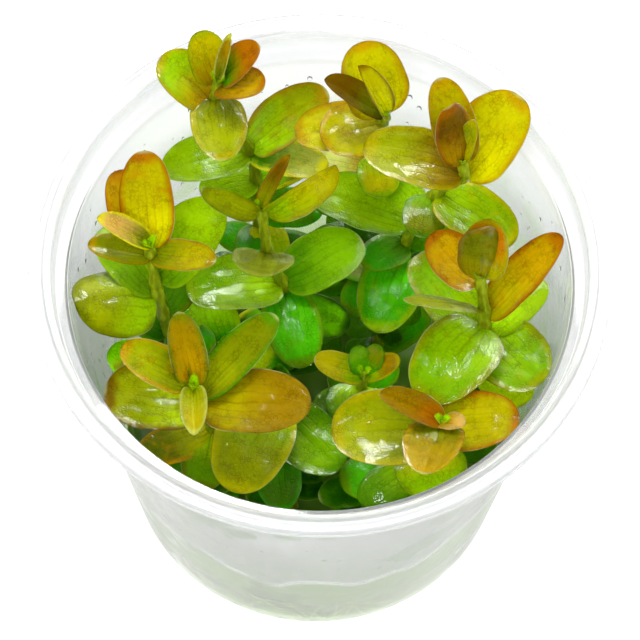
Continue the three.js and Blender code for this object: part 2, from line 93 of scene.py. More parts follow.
# Each shoot: its stem's points from the gel up, its larger leaves and its small ones. A leaf row is the
# height where it leaves the stem, its compass direction (0 is +X, 90 is +Y), mean slope, length, width,
# change of slope along it, lift of its sides, sharp fold along its midrib, roll about its midrib, and the
# colours of its heart, blade and rim. Angles are degrees.
SHOOTS = {
    "back_left": {
        "stem": [(-8, 22, 11), (-11.5, 30, 38), (-13.4, 33.2, 60), (-19.3, 32.6, 77), (-18.6, 33.6, 85)],
        "leaves": [
            (79, 162, 38, 11.5, 10.5, -25, 20, 0, 0, "tan", "leaf_green", "olive_yellow"),
            (83, 116, 44, 9, 7.5, -20, 25, 0, 0, "ochre", "olive_yellow", "moss"),
            (84.5, 18, 53, 10, 7, -10, 30, 0, 0, "deep_green", "rust", "rust"),
            (83.5, -27, 37, 9.5, 8, -20, 25, 0, 0, "bronze", "tan", "rust"),
            (80, -82, 13, 13.5, 10, -30, 15, 0, 0, "olive", "moss", "olive_yellow"),
            (60, -158, 10, 15.5, 10, -30, 20, 0, 0, "leaf_green", "leaf_green", "leaf_green"),
            (61, 26, 33, 17, 10.5, -25, 20, 0, 0, "lime", "moss", "ochre"),
        ],
        "young": [
            (84.5, 66, 58, 9.8, 3.5, 0, 0, 50, 0, "olive", "ochre", "straw"),
            (60, -16, 6, 15, 8, -20, 10, 0, 0, "deep_green", "straw", "yellow"),
            (51, -160, 6, 11, 8, -20, 0, 0, 0, "leaf_green", "leaf_green", "bright_lime"),
            (51, 20, 10, 11, 8, -20, 0, 0, 0, "fresh_green", "umber", "yellow"),
            (38, -70, 5, 10, 8, -20, 0, 0, 0, "lemon", "acid_yellow", "lemon"),
        ],
    },
    "back": {
        "stem": [(5, 20, 11), (8, 30, 42), (10, 33.5, 68), (10.8, 31.6, 78)],
        "leaves": [
            (75.5, 117, 43, 13, 12.5, -15, 30, 0, 0, "yellow", "lemon_lime", "tan"),
            (76.6, 168, 40, 12.5, 6.5, 0, 0, 30, 0, "olive", "umber", "umber"),
            (72.5, -148, 14, 11, 11.5, -25, 15, 0, 0, "lemon_lime", "lemon_lime", "tan"),
            (70, -163, 15, 15, 10.5, -30, 20, 0, 0, "amber", "lemon_lime", "tan"),
        ],
        "young": [
            (77, 146, 60, 12.5, 6.5, 0, 0, 45, 0, "lemon", "lemon_lime", "bronze"),
            (60, -80, 2, 9, 8, -20, 0, 0, 0, "leaf_green", "lemon_lime", "leaf_green"),
            (56, 176, 8, 12, 8, -20, 0, 0, 0, "ochre", "pale", "lime"),
            (40, -80, 5, 9, 7, -20, 0, 0, 0, "lemon", "lemon", "lemon"),
        ],
    },
    "back_right": {
        "stem": [(10, 11, 11), (14.5, 19, 42), (17, 23, 55), (21, 23, 66), (24.8, 21, 76), (24, 21.8, 80)],
        "leaves": [
            (76, 176, 19, 17.5, 12, -25, 25, 0, 0, "bronze", "moss", "olive_yellow"),
            (74, 51, 32, 16.5, 13, -20, 20, 0, 0, "yellow", "lemon_lime", "tan"),
            (78, 114, 46, 15.5, 8.5, -10, 30, 0, 0, "olive_yellow", "olive_yellow", "tan"),
            (79, -52, 116, 14.5, 8, 10, 40, 0, 0, "tan", "umber", "rust"),
            (65, -37, 2, 15.5, 11, -25, 15, 0, 0, "leaf_green", "leaf_green", "lemon_lime"),
            (54, 169, 12, 18, 11.5, -30, 20, 0, 0, "lime", "leaf_green", "green"),
            (46, -105, 7, 16.5, 12, -25, 20, 0, 0, "bright_green", "vivid_green", "leaf_green"),
        ],
        "young": [
            (79.5, 62, 66, 9.5, 4.5, 0, 0, 35, 0, "lemon_lime", "moss", "olive_yellow"),
            (63, -106, 12, 10, 8.5, -25, 0, 0, 0, "green", "olive", "deep_green"),
            (58, 140, 8, 9, 7, -20, 0, 0, 0, "lime", "green", "leaf_green"),
            (42, 176, 5, 13, 8, -20, 0, 0, 0, "fresh_green", "pale", "fresh_green"),
        ],
    },
    "right": {
        "stem": [(22, -6, 11), (27, -4.5, 42), (29, -4, 66), (27.3, -0.5, 80)],
        "leaves": [
            (79, -79, 108, 14, 8.5, 15, 45, 0, 0, "olive_yellow", "olive", "bronze"),
            (77, 142, 22, 11, 9.5, 20, 30, 0, 0, "tan", "tan", "rust"),
            (69, 37, 44, 19.5, 8, -10, 0, 20, 0, "olive_yellow", "tan", "rust"),
            (71, -172, 28, 14.5, 8, -25, 0, 0, 45, "moss", "moss", "moss"),
            (67, -124, 7, 18, 14, -35, 18, 0, 0, "lime", "green", "moss"),
            (64.5, -50, 10, 13.2, 13.6, -25, 15, 0, 0, "bright_lime", "green", "moss"),
            (63, 130, 8, 17.5, 12, -25, 20, 0, 0, "leaf_green", "green", "moss"),
        ],
        "young": [
            (79, 80, 66, 13, 9, -10, 35, 0, 0, "lemon_lime", "orange", "olive_yellow"),
            (65, 44, 4, 14.5, 9, -20, 15, 0, 0, "bright_lime", "leaf_green", "leaf_green"),
            (58, -54, 4, 13.5, 10, -20, 0, 0, 0, "lime", "acid_yellow", "acid_yellow"),
            (50, -130, 8, 12, 9, -20, 0, 0, 0, "vivid_green", "bright_green", "moss"),
            (42, 150, 5, 11, 8, -20, 0, 0, 0, "vivid_green", "vivid_green", "green"),
        ],
    },
    "front_right": {
        "stem": [(13, -17, 11), (17.5, -22, 42), (20, -23.5, 64), (21.8, -24.4, 71)],
        "leaves": [
            (66, -172, 8, 16.5, 15, -15, 25, 0, 0, "olive", "moss", "olive_yellow"),
            (66, 1, 22, 13.7, 11.2, -20, 20, 0, 0, "lemon_lime", "olive_yellow", "rust"),
            (70, -106, 30, 13, 10.5, -20, 0, 15, 8, "olive", "ochre", "tan"),
            (58, -80, 10, 10.2, 12.8, -20, 15, 0, 0, "lemon", "bright_lime", "leaf_green"),
        ],
        "young": [
            (70, 169, 30, 13, 6.8, 0, 0, 36, 0, "rust", "bronze", "bronze"),
            (70.5, -35, 44, 6, 4.4, 0, 0, 25, 0, "tan", "peach", "peach"),
            (47, -140, 6, 13, 8, -20, 0, 0, 0, "leaf_green", "deep_green", "deep_green"),
            (43, -160, 4, 18, 8, -20, 0, 0, 0, "vivid_green", "shade_green", "deep_green"),
            (52, 60, 5, 11, 8, -20, 0, 0, 0, "vivid_green", "fresh_green", "ochre"),
        ],
    },
    "front_left": {
        "stem": [(-13, -12, 11), (-17.5, -17, 42), (-19.4, -19.8, 64), (-21.5, -18.6, 71)],
        "leaves": [
            (70.8, 163, 27, 12.5, 8, -15, 20, 0, 0, "olive", "moss", "tan"),
            (69.5, 106, 40, 12.5, 8.5, 0, 0, 40, 0, "tan", "ochre", "olive"),
            (66, -9, 18, 18.5, 12.5, -15, 15, 0, 0, "olive_yellow", "bronze", "bronze"),
            (65, 177, 4, 15.7, 13.5, -25, 20, 0, 0, "acid_yellow", "moss", "umber"),
            (67, 45, 22, 18, 8, -10, 0, 20, 0, "moss", "olive", "deep_green"),
        ],
        "young": [
            (70, -86, 28, 13.5, 5.5, 0, 0, 30, 0, "moss", "olive_yellow", "straw"),
            (63, 150, 8, 20, 10, -20, 15, 0, 0, "tan", "olive", "fresh_green"),
            (52, -97, 8, 13, 9, -20, 0, 0, 0, "acid_yellow", "green", "olive"),
            (52, -150, 10, 15, 8, -20, 0, 0, 0, "lemon", "olive", "amber"),
            (42, 70, 5, 9, 7, -20, 0, 0, 0, "bright_green", "shade_green", "green"),
        ],
    },
    "centre": {
        "stem": [(-6, 5, 11), (-7.5, 8, 40), (-6.8, 9, 54), (-9.3, 9.3, 66), (-10.5, 12.6, 78)],
        "leaves": [
            (76, 22, 38, 15, 9, 0, 0, 34, 74, "leaf_green", "lemon_lime", "olive_yellow"),
            (76, 180, 45, 12.5, 5.5, 0, 0, 30, -62, "moss", "moss", "olive"),
            (67, -97, 48, 13, 11, -10, 20, 0, 0, "olive", "olive", "moss"),
            (55.7, -158, 22, 17.5, 12, -30, 25, 0, 0, "lime", "green", "leaf_green"),
            (55, 26, 14, 15, 11.5, -25, 15, 0, 0, "deep_green", "green", "green"),
            (53, -75, 2, 15, 10.5, -25, 15, 0, 0, "vivid_green", "bright_green", "green"),
        ],
        "young": [
            (77.5, 50, 50, 11.5, 4.5, 0, 0, 50, 0, "moss", "umber", "bronze"),
            (46, -18, 6, 13.5, 9, -20, 0, 0, 0, "vivid_green", "fresh_green", "shade_green"),
            (43, 215, 5, 10, 8, -20, 0, 0, 0, "fresh_green", "shade_green", "lemon"),
            (38, 100, 5, 10, 8, -20, 0, 0, 0, "vivid_green", "vivid_green", "green"),
        ],
    },
    "left": {
        "stem": [(-21, 2, 11), (-26, 1, 42), (-28.3, 0, 68), (-29.2, 2, 78), (-29.4, 3.6, 81)],
        "leaves": [
            (79, 96, 30, 16, 9.5, -20, 20, 0, 0, "yellow", "olive_yellow", "rust"),
            (77.4, 116, 29, 15, 9, -20, 25, 0, 0, "lemon_lime", "tan", "rust"),
            (78.5, -17, 25, 11.5, 6.5, -15, 25, 0, 0, "olive", "olive_yellow", "ochre"),
            (66.5, -160, 29, 15.4, 14.5, -25, -40, 0, 0, "lime", "moss", "olive"),
            (71.5, 48, 26, 16.4, 12, -30, 20, 0, 0, "green", "leaf_green", "leaf_green"),
        ],
        "young": [
            (80, 168, 34, 11, 6, 0, 0, 36, 0, "olive", "peach", "yellow"),
            (78, -178, 22, 11.5, 6, 0, 0, 20, 0, "moss", "olive", "ochre"),
            (68.5, 136, 12, 15, 9.5, -20, 15, 0, 0, "green", "green", "leaf_green"),
            (60, 66, 4, 12, 8, -20, 0, 0, 0, "deep_green", "shade_green", "olive"),
            (48, 30, 5, 13, 8, -20, 0, 0, 0, "vivid_green", "vivid_green", "green"),
            (45, -80, 5, 11, 8, -20, 0, 0, 0, "vivid_green", "vivid_green", "green"),
        ],
    },
    "small": {
        "stem": [(5, -5, 11), (7, -8, 38), (8.3, -9.6, 58)],
        "leaves": [],
        "young": [
            (56.5, 179, 32, 10.5, 6, 0, 0, 10, 0, "green", "olive_yellow", "olive_yellow"),
            (56.5, 5, 42, 8.5, 5, 0, 0, 10, 0, "leaf_green", "bronze", "olive_yellow"),
            (57, 118, 52, 6, 4.5, 0, 20, 0, 0, "vivid_green", "green", "deep_green"),
            (57, 52, 46, 6.5, 4.5, 0, 20, 0, 0, "vivid_green", "olive", "deep_green"),
            (51, -98, 6, 9, 11.5, -25, 15, 0, 0, "lime", "green", "deep_green"),
            (42, 110, 5, 9, 8, -20, 0, 0, 0, "fresh_green", "bright_lime", "lemon"),
        ],
    },
    "front": {
        "stem": [(-4, -17, 11), (-7, -15, 36), (-8, -14.6, 57)],
        "leaves": [
            (56, -108, 6, 18, 14, -20, 15, 0, 0, "leaf_green", "moss", "lemon_lime"),
            (51, -42, 4, 15, 12, -20, 15, 0, 0, "shade_green", "green", "deep_green"),
        ],
        "young": [
            (50, 95, 8, 10, 8, -20, 0, 0, 0, "shade_green", "shade_green", "fresh_green"),
            (38, -85, 20, 17, 8.5, 20, 15, 0, 0, "vivid_green", "deep_green", "vivid_green"),
            (38, 200, 5, 10, 8, -20, 0, 0, 0, "vivid_green", "vivid_green", "vivid_green"),
            (36, 20, 5, 10, 8, -20, 0, 0, 0, "vivid_green", "vivid_green", "shade_green"),
        ],
    },
    "middle": {
        "stem": [(-16, -2, 11), (-17, -3, 36), (-17, -2, 52)],
        "leaves": [],
        "young": [
            (51, 112, 12, 11, 9, -25, 20, 0, 0, "vivid_green", "bright_lime", "lime"),
            (51, -20, 12, 11, 8, -20, 0, 0, 0, "shade_green", "acid_yellow", "vivid_green"),
            (40, 160, 5, 9, 8, -20, 0, 0, 0, "shade_green", "vivid_green", "shade_green"),
            (40, -75, 5, 9, 8, -20, 0, 0, 0, "vivid_green", "bright_green", "shade_green"),
        ],
    },
}

# The leaves' finish by the tone of the solid that each one stands for.
LEAF_TONES = {
    "back_left": ["lime", "yellow", "orange", "orange", "lime", "green", "lime"],
    "back": ["yellow", "bronze", "yellow", "orange"],
    "back_right": ["yellow", "yellow", "orange", "bronze", "lime", "green", "green"],
    "right": ["bronze", "orange", "orange", "lime", "green", "lime", "lime"],
    "front_right": ["yellow", "yellow", "orange", "green"],
    "front_left": ["orange", "orange", "yellow", "green", "lime"],
    "centre": ["orange", "orange", "lime", "green", "green", "green"],
    "left": ["yellow", "orange", "yellow", "lime", "lime"],
    "front": ["lime", "green"],
}

# Paints of the leaves that hide low on the stems, and the row of a tip's two buds from its slope on.
LOW_PAINTS = (
    ("shade_green", "deep_green", "deep_green"),
    ("deep_green", "vivid_green", "green"),
    ("shade_green", "shade_green", "deep_green"),
    ("deep_green", "deep_green", "vivid_green"),
)
BUD = (66, 3.4, 2.2, 20, 0, 35, 0, "green", "lime", "leaf_green")

# For each finish: wetness, roughness, share of the light that spreads inside, and strength of brown smudges.
YOUNG_FINISH = (0.3, 0.36, 0.6, 0.1)
FINISHES = {
    "green": (1.0, 0.34, 0.55, 0.05),
    "lime": (0.8, 0.36, 0.6, 0.2),
    "yellow": (0.7, 0.36, 0.65, 0.25),
    "orange": (0.5, 0.38, 0.65, 0.4),
    "bronze": (0.3, 0.40, 0.4, 0.4),
}

# Tones that a leaf's own colour is multiplied by, and the pale colour of a painted highlight along the
# margin.
SMUDGE = (0.66, 0.40, 0.30, 1)
VEIN = (0.42, 0.38, 0.25, 1)
FINE_VEIN = (0.55, 0.60, 0.40, 1)
MARGIN = (0.40, 0.36, 0.25, 1)
UNDERSIDE = (0.80, 0.72, 0.62, 1)
PAINTED_MARGIN_HIGHLIGHT = (0.66, 0.68, 0.22, 1)

# The side veins of a leaf: distance from the midrib as a share of the half width, width and strength.
SIDE_VEINS = ((0.27, 0.026, 0.75), (0.52, 0.024, 0.65), (0.74, 0.022, 0.5))

# For the small and the large leaves: millimetres from the stem's axis to the start of the solid, how much
# nearer the leaf itself starts, and the points of its mesh along and across.
SMALL_LEAF = (0.0, 0.0, 23, 15)
LARGE_LEAF = (1.6, 1.1, 41, 33)

# Steps along a stem's axis, and the distance under which neighbouring points of a skin become one.
STEM_STEPS = 96
SEAM = 2e-6

# For each lamp: place, size, share of the softbox power, and whether it only shows as a glint in wet skin.
LAMPS = {
    "softbox_top": ((-0.15, 0.45, 0.85), 0.30, 0.90, False),
    "softbox_side": ((0.80, -0.10, 0.60), 0.60, 0.50, False),
    "softbox_front": ((-0.45, -0.60, 0.80), 0.80, 0.90, False),
    "panel_back": ((-0.05, 0.50, 0.86), 0.20, 0.80, True),
    "panel_low": ((0.20, 0.78, 0.52), 0.40, 3.40, True),
}
LAMP_AIM = (0, 0, 0.06)

# The camera's place in metres, its tilt up from straight down and its roll in degrees, and its focal length.
CAMERA_PLACE = (0.0002, -0.2318, 0.5384)
CAMERA_TILT = 25.8
CAMERA_ROLL = 1.6
CAMERA_LENS = 168.75


def linear(colour):
    """A 0 to 255 screen colour as linear light, with full alpha."""
    return tuple((c / 255) ** 2.2 for c in colour) + (1.0,)


# Settings


def length(name, default, description):
    """A length in metres that a user can change."""
    return bpy.props.FloatProperty(name=name, description=description, default=default, unit="LENGTH")


def tint(name, default, description):
    """A colour that a user can change."""
    return bpy.props.FloatVectorProperty(
        name=name, description=description, subtype="COLOR", default=default, min=0, max=1
    )


class CupSettings(bpy.types.PropertyGroup):
    rim_radius: length("Rim radius", 0.050, "Outside radius of the flange")
    rim_height: length("Rim height", 0.081, "Height of the flange's outer edge")
    ledge_height: length("Ledge height", 0.0765, "Height of the step that a lid sits on")
    ledge_radius: length("Ledge radius", 0.0443, "Outside radius of the wall at the ledge")
    base_radius: length("Base radius", 0.0356, "Outside radius of the wall at the base")
    wall: length("Wall", 0.0008, "Thickness of the plastic wall")
    floor: length("Floor", 0.0012, "Thickness of the plastic floor")
    sides: bpy.props.IntProperty(name="Sides", description="Steps round the cup", default=192, min=24)
    plastic: tint("Plastic", (0.950, 0.960, 0.968), "Colour of the plastic")
    clearness: bpy.props.FloatProperty(
        name="Clearness", description="Share of the light that passes the rim", default=0.66, min=0, max=1
    )


class PlantSettings(bpy.types.PropertyGroup):
    leaf_thickness: length("Leaf thickness", 0.00046, "Thickness of a leaf at its midrib")
    margin_wave: bpy.props.FloatProperty(
        name="Margin wave",
        description="Height of the waves along a leaf's margin, by its half width",
        default=0.10,
        min=0,
        max=0.5,
    )
    vein_depth: length("Vein depth", 0.00016, "Depth of the groove over the midrib")
    stem_foot: length("Stem foot radius", 0.0015, "Radius of a stem at the gel")
    stem_tip: length("Stem tip radius", 0.0009, "Radius of a stem at its tip")
    stem_colour: tint("Stem", (0.22, 0.30, 0.004), "Colour of the stems")


class GelSettings(bpy.types.PropertyGroup):
    height: length("Gel height", 0.014, "Height of the gel's edge over the base")
    colour: tint("Gel", (0.07, 0.17, 0.01), "Colour of the growing gel")


class StageSettings(bpy.types.PropertyGroup):
    floor_size: length("Floor size", 6.0, "Side of the plain floor")
    sky: bpy.props.FloatProperty(name="Sky", description="Strength of the even light", default=0.50, min=0)
    softbox: bpy.props.FloatProperty(
        name="Softbox", description="Power that each lamp gives its share of", default=5.0, unit="POWER"
    )


def wall_radius(height):
    """Inside radius of the cup's wall at a height."""
    cup = bpy.context.scene.bacopa_cup
    return cup.base_radius - cup.wall + (cup.ledge_radius - cup.base_radius) / cup.ledge_height * height


# Node trees


class Value:
    """A socket of a node tree, or a number, that can be added, multiplied and so on to build a formula."""

    def __init__(self, net, source):
        self.net = net
        self.source = source

    def __add__(self, other):
        return self.net.math("ADD", self, other)

    __radd__ = __add__

    def __sub__(self, other):
        return self.net.math("SUBTRACT", self, other)

    def __rsub__(self, other):
        return self.net.math("SUBTRACT", other, self)

    def __mul__(self, other):
        return self.net.math("MULTIPLY", self, other)

    __rmul__ = __mul__

    def __truediv__(self, other):
        return self.net.math("DIVIDE", self, other)

    def __pow__(self, other):
        return self.net.math("POWER", self, other)

    def __neg__(self):
        return self.net.math("MULTIPLY", self, -1.0)


class Net:
    """Builds a geometry or shader node tree: makes nodes, feeds their sockets and does sums on them."""

    def __init__(self, tree):
        self.tree = tree

    def feed(self, socket, value):
        source = value.source if isinstance(value, Value) else value
        if isinstance(source, bpy.types.NodeSocket):
            self.tree.links.new(source, socket)
        else:
            socket.default_value = source

    def node(self, kind, inputs=None, **settings):
        made = self.tree.nodes.new(kind)
        for key, value in settings.items():
            setattr(made, key, value)
        for key, value in (inputs or {}).items():
            self.feed(made.inputs[key], value)
        return made

    def out(self, kind, inputs=None, socket=0, **settings):
        return Value(self, self.node(kind, inputs, **settings).outputs[socket])

    def math(self, operation, *values):
        return self.out("ShaderNodeMath", dict(enumerate(values)), operation=operation)

    def sin(self, value):
        return self.math("SINE", value)

    def cos(self, value):
        return self.math("COSINE", value)

    def abs(self, value):
        return self.math("ABSOLUTE", value)

    def least(self, *values):
        return self.math("MINIMUM", *values)

    def most(self, *values):
        return self.math("MAXIMUM", *values)

    def mix(self, factor, first, second, blend="MIX"):
        """Mixes two colours."""
        made = self.node("ShaderNodeMix", data_type="RGBA", blend_type=blend)
        for slot, value in zip((0, 6, 7), (factor, first, second)):
            self.feed(made.inputs[slot], value)
        return Value(self, made.outputs[2])

    def ramp(self, value, low, high, out_low=0.0, out_high=1.0):
        """Smooth step of a value from low to high."""
        inputs = {"Value": value, "From Min": low, "From Max": high, "To Min": out_low, "To Max": out_high}
        return self.out("ShaderNodeMapRange", inputs, interpolation_type="SMOOTHSTEP")

    def vector(self, x, y, z):
        return self.out("ShaderNodeCombineXYZ", {0: x, 1: y, 2: z})

    def split(self, vector):
        made = self.node("ShaderNodeSeparateXYZ", {0: vector})
        return [Value(self, socket) for socket in made.outputs]

    def noise(self, vector, scale, detail=2.0, roughness=0.5):
        inputs = {"Vector": vector, "Scale": scale, "Detail": detail, "Roughness": roughness}
        return self.out("ShaderNodeTexNoise", inputs, noise_dimensions="3D")

    def peak(self, value, centre, width):
        """1 where the value is at the centre, falling off over the width."""
        away = (value - centre) / width
        return self.math("EXPONENT", -(away * away))


def geometry_net(name, inputs):
    """A geometry tree with the named inputs, given as name: socket type. Returns its net and those inputs."""
    tree = bpy.data.node_groups.new(name, "GeometryNodeTree")
    tree.interface.new_socket(name="Geometry", in_out="INPUT", socket_type="NodeSocketGeometry")
    for label, kind in inputs.items():
        tree.interface.new_socket(name=label, in_out="INPUT", socket_type="NodeSocket" + kind)
    tree.interface.new_socket(name="Geometry", in_out="OUTPUT", socket_type="NodeSocketGeometry")
    net = Net(tree)
    start = tree.nodes.new("NodeGroupInput")
    return net, {socket.name: Value(net, socket) for socket in start.outputs if socket.name}


def close_net(net, geometry, material):
    """Ends a geometry tree with smooth, real geometry that carries its material."""
    smooth = net.out("GeometryNodeSetShadeSmooth", {"Geometry": geometry})
    real = net.out("GeometryNodeRealizeInstances", {0: smooth})
    painted = net.out("GeometryNodeSetMaterial", {"Geometry": real, "Material": material})
    end = net.tree.nodes.new("NodeGroupOutput")
    net.feed(end.inputs[0], painted)
    return net.tree


def store(net, geometry, name, value, kind):
    """The geometry with a named attribute at its points."""
    stored = net.node("GeometryNodeStoreNamedAttribute", data_type=kind, domain="POINT")
    for key, given in (("Geometry", geometry), ("Name", name), ("Value", value)):
        net.feed(stored.inputs[key], given)
    return Value(net, stored.outputs[0])


def stored_value(net, name, kind):
    """A named attribute that was stored before."""
    return net.out("GeometryNodeInputNamedAttribute", {"Name": name}, data_type=kind)


def turned(net, given, profile):
    """The profile carried round the cup's axis, with its seam closed."""
    ring = {"Resolution": given["Sides"], "Radius": given["Path radius"]}
    circle = net.out("GeometryNodeCurvePrimitiveCircle", ring)
    body = net.out("GeometryNodeCurveToMesh", {"Curve": circle, "Profile Curve": profile})
    return net.out("GeometryNodeMergeByDistance", {"Geometry": body, "Distance": SEAM})


def swept(net, given, profile, scale):
    """The profile carried along the paths of the seed mesh, with closed ends."""
    line = net.out("GeometryNodeMeshToCurve", {"Mesh": given["Geometry"]})
    inputs = {"Curve": line, "Profile Curve": profile, "Scale": scale, "Fill Caps": True}
    return net.out("GeometryNodeCurveToMesh", inputs)


def grow(name, tree, values, source=None):
    """Runs a geometry tree with the values of its named inputs, and returns a plain mesh object."""
    data = source or bpy.data.meshes.new(name + "_seed")
    seed = bpy.data.objects.new(name + "_seed", data)
    bpy.context.scene.collection.objects.link(seed)
    modifier = seed.modifiers.new(name, "NODES")
    modifier.node_group = tree
    for item in tree.interface.items_tree:
        if item.in_out == "INPUT" and item.name in values:
            modifier[item.identifier] = values[item.name]
    mesh = bpy.data.meshes.new_from_object(seed.evaluated_get(bpy.context.evaluated_depsgraph_get()))
    mesh.name = name
    bpy.data.objects.remove(seed)
    made = bpy.data.objects.new(name, mesh)
    bpy.context.scene.collection.objects.link(made)
    return made


def wire(name, verts, edges, faces=()):
    """A plain mesh that a geometry tree starts from."""
    mesh = bpy.data.meshes.new(name)
    mesh.from_pydata(verts, edges, faces)
    return mesh


def outline(name, profile, path):
    """The closed outline of a turned body, from (radius, height) pairs, for a ring of that path radius."""
    count = len(profile)
    verts = [(radius - path, -height, 0) for radius, height in profile]
    return wire(name, verts, [(k, (k + 1) % count) for k in range(count)])


def tidy_mesh(piece, merge=1e-6):
    """Merges doubles, turns the faces outward and shades them smooth."""
    work = bmesh.new()
    work.from_mesh(piece.data)
    bmesh.ops.remove_doubles(work, verts=work.verts, dist=merge)
    bmesh.ops.recalc_face_normals(work, faces=work.faces)
    work.to_mesh(piece.data)
    work.free()
    piece.data.shade_smooth()


def join(name, pieces):
    """Joins pieces into one mesh object, with their attributes."""
    with bpy.context.temp_override(active_object=pieces[0], selected_editable_objects=pieces):
        bpy.ops.object.join()
    pieces[0].name = pieces[0].data.name = name
    return pieces[0]


def hand_over(piece, slot, *nodes):
    """The piece rides on the cup's body and stands for its solids."""
    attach(piece, BODY)
    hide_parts(*nodes)


# Materials


def new_material(name):
    """A material, with its net and its shader."""
    material = bpy.data.materials.new(name)
    material.use_nodes = True
    return material, Net(material.node_tree), material.node_tree.nodes["Principled BSDF"]


def apply_looks(net, shader, looks):
    """Feeds the shader's sockets, each with a number, a colour or a value of the net."""
    for socket, value in looks.items():
        net.feed(shader.inputs[socket], value)


def attribute(net, name, socket="Color"):
    return Value(net, net.node("ShaderNodeAttribute", attribute_name=name).outputs[socket])


def object_place(net):
    return Value(net, net.node("ShaderNodeTexCoord").outputs["Object"])


def warped(net, place, scale, shift):
    """The place, pushed about by up to the shift."""
    push = net.out("ShaderNodeTexNoise", {"Vector": place, "Scale": scale, "Detail": 2.0}, socket=1)
    push = net.out("ShaderNodeVectorMath", {0: push, 3: shift}, operation="SCALE")
    return net.out("ShaderNodeVectorMath", {0: place, 1: push})


def bumped(net, height, strength, distance):
    return net.out("ShaderNodeBump", {"Height": height, "Strength": strength, "Distance": distance})


def shaded(net, body, tone):
    """The colour multiplied by a tone."""
    return net.mix(1.0, body, tone, "MULTIPLY")


def tinted(net, share, body, tone):
    """The colour, turned toward its product with a tone by a share."""
    return net.mix(share, body, shaded(net, body, tone))


def leaf_material(name, wetness, roughness, glow, blush):
    """A living leaf: heart, blade and rim colours, veins with a fine net between them, and a wet skin."""
    material, net, shader = new_material(name)
    across, along, side = net.split(attribute(net, "place", "Vector"))
    here = object_place(net)
    reach = net.abs(across)
    drift = net.noise(here, 170, 3.0, 0.6) - 0.5
    speckle = net.noise(here, 1500, 2.0, 0.7)
    grain = net.noise(here, 5200, 1.0, 0.5)

    # Colour runs from the heart to the blade, and turns to the rim's colour near the margin and in patches.
    toward_tip = net.ramp(along + drift * 0.5, 0.12, 0.72)
    body = net.mix(toward_tip, attribute(net, "heart"), attribute(net, "blade"))
    edge = net.most(reach, net.ramp(along, 0.55, 1.0))
    body = net.mix(net.ramp(edge + drift * 0.45, 0.68, 1.0), body, attribute(net, "rim"))
    patches = net.ramp(net.noise(here, 320, 3.0, 0.65), 0.52, 0.70, 0.0, 0.4)
    body = net.mix(patches, body, attribute(net, "rim"))
    smudge = net.ramp(net.noise(here, 420, 3.0, 0.6), 0.54, 0.68, 0.0, blush)
    body = tinted(net, smudge, body, SMUDGE)
    # The middle of the blade is painted lighter, a painted glow of light through the leaf, on top of a random
    # mottle.
    painted_glow_zone = net.ramp(reach, 0.95, 0.25) * net.ramp(net.abs(along - 0.5), 0.5, 0.2)
    mottle_and_painted_glow = speckle * 0.36 + 0.72 + painted_glow_zone * 0.18
    body = shaded(net, body, net.out("ShaderNodeCombineColor", {0: mottle_and_painted_glow, 1: mottle_and_painted_glow, 2: 0.9}))

    # Veins run as arcs from foot to tip, with a net of fine ones between.
    wander = across + (net.noise(here, 200) - 0.5) * 0.26
    veins = net.peak(wander, 0.0, 0.035)
    for place, width, strength in SIDE_VEINS:
        veins = veins + net.peak(net.abs(wander), place, width) * strength
    veins = veins * net.ramp(along, 1.0, 0.1)
    cells = net.out(
        "ShaderNodeTexVoronoi",
        {"Vector": warped(net, here, 900.0, 0.0009), "Scale": 1350.0},
        feature="DISTANCE_TO_EDGE",
    )
    fine_net = net.ramp(cells, 0.16, 0.02) * net.ramp(net.noise(here, 420), 0.36, 0.64)
    body = tinted(net, veins * 0.52, body, VEIN)
    body = tinted(net, fine_net * 0.60, body, FINE_VEIN)
    margin = net.ramp(net.most(reach, along), 0.955, 0.995)
    body = tinted(net, margin * 0.55, body, MARGIN)
    # Patches of the margin are painted pale, a painted highlight of light on and through the edge.
    painted_margin_highlight = margin * net.ramp(net.noise(here, 75, 1.0), 0.50, 0.58)
    body = net.mix(painted_margin_highlight * 0.45, body, PAINTED_MARGIN_HIGHLIGHT)
    body = tinted(net, net.ramp(side, 0.0, -0.6) * 0.35, body, UNDERSIDE)

    # The skin is wet in places, most of all by the margin, where it mirrors the light in broken grains.
    pools = net.ramp(net.noise(here, 190), 0.61 - 0.12 * wetness, 0.64 - 0.12 * wetness)
    beads = net.ramp(net.noise(here, 120, 1.0), 0.50 - 0.1 * wetness, 0.56)
    wet = net.most(pools, net.ramp(reach, 0.72, 0.86) * beads)
    relief = grain * 0.25 + speckle * 0.7 - fine_net * 0.5 - veins * 0.9
    grains = net.noise(here, 3000, 0.0) + net.noise(here, 1500, 0.0) * 0.6 - veins * 0.2
    looks = {
        "Base Color": body,
        "Roughness": speckle * 0.14 + roughness,
        "Normal": bumped(net, relief, 0.35, 0.0002),
        "Coat Normal": bumped(net, grains, 0.45, 0.0002),
        "Coat Weight": wet,
        "Coat Roughness": 0.03,
        "Coat IOR": 1.36,
        "IOR": 1.42,
        "Specular IOR Level": 0.22,
        "Specular Tint": (1.0, 0.97, 0.05, 1),
        "Subsurface Weight": glow,
        "Subsurface Radius": (1.0, 1.0, 0.15),
        "Subsurface Scale": 0.0016,
    }
    apply_looks(net, shader, looks)
    shader.subsurface_method = "BURLEY"
    return material


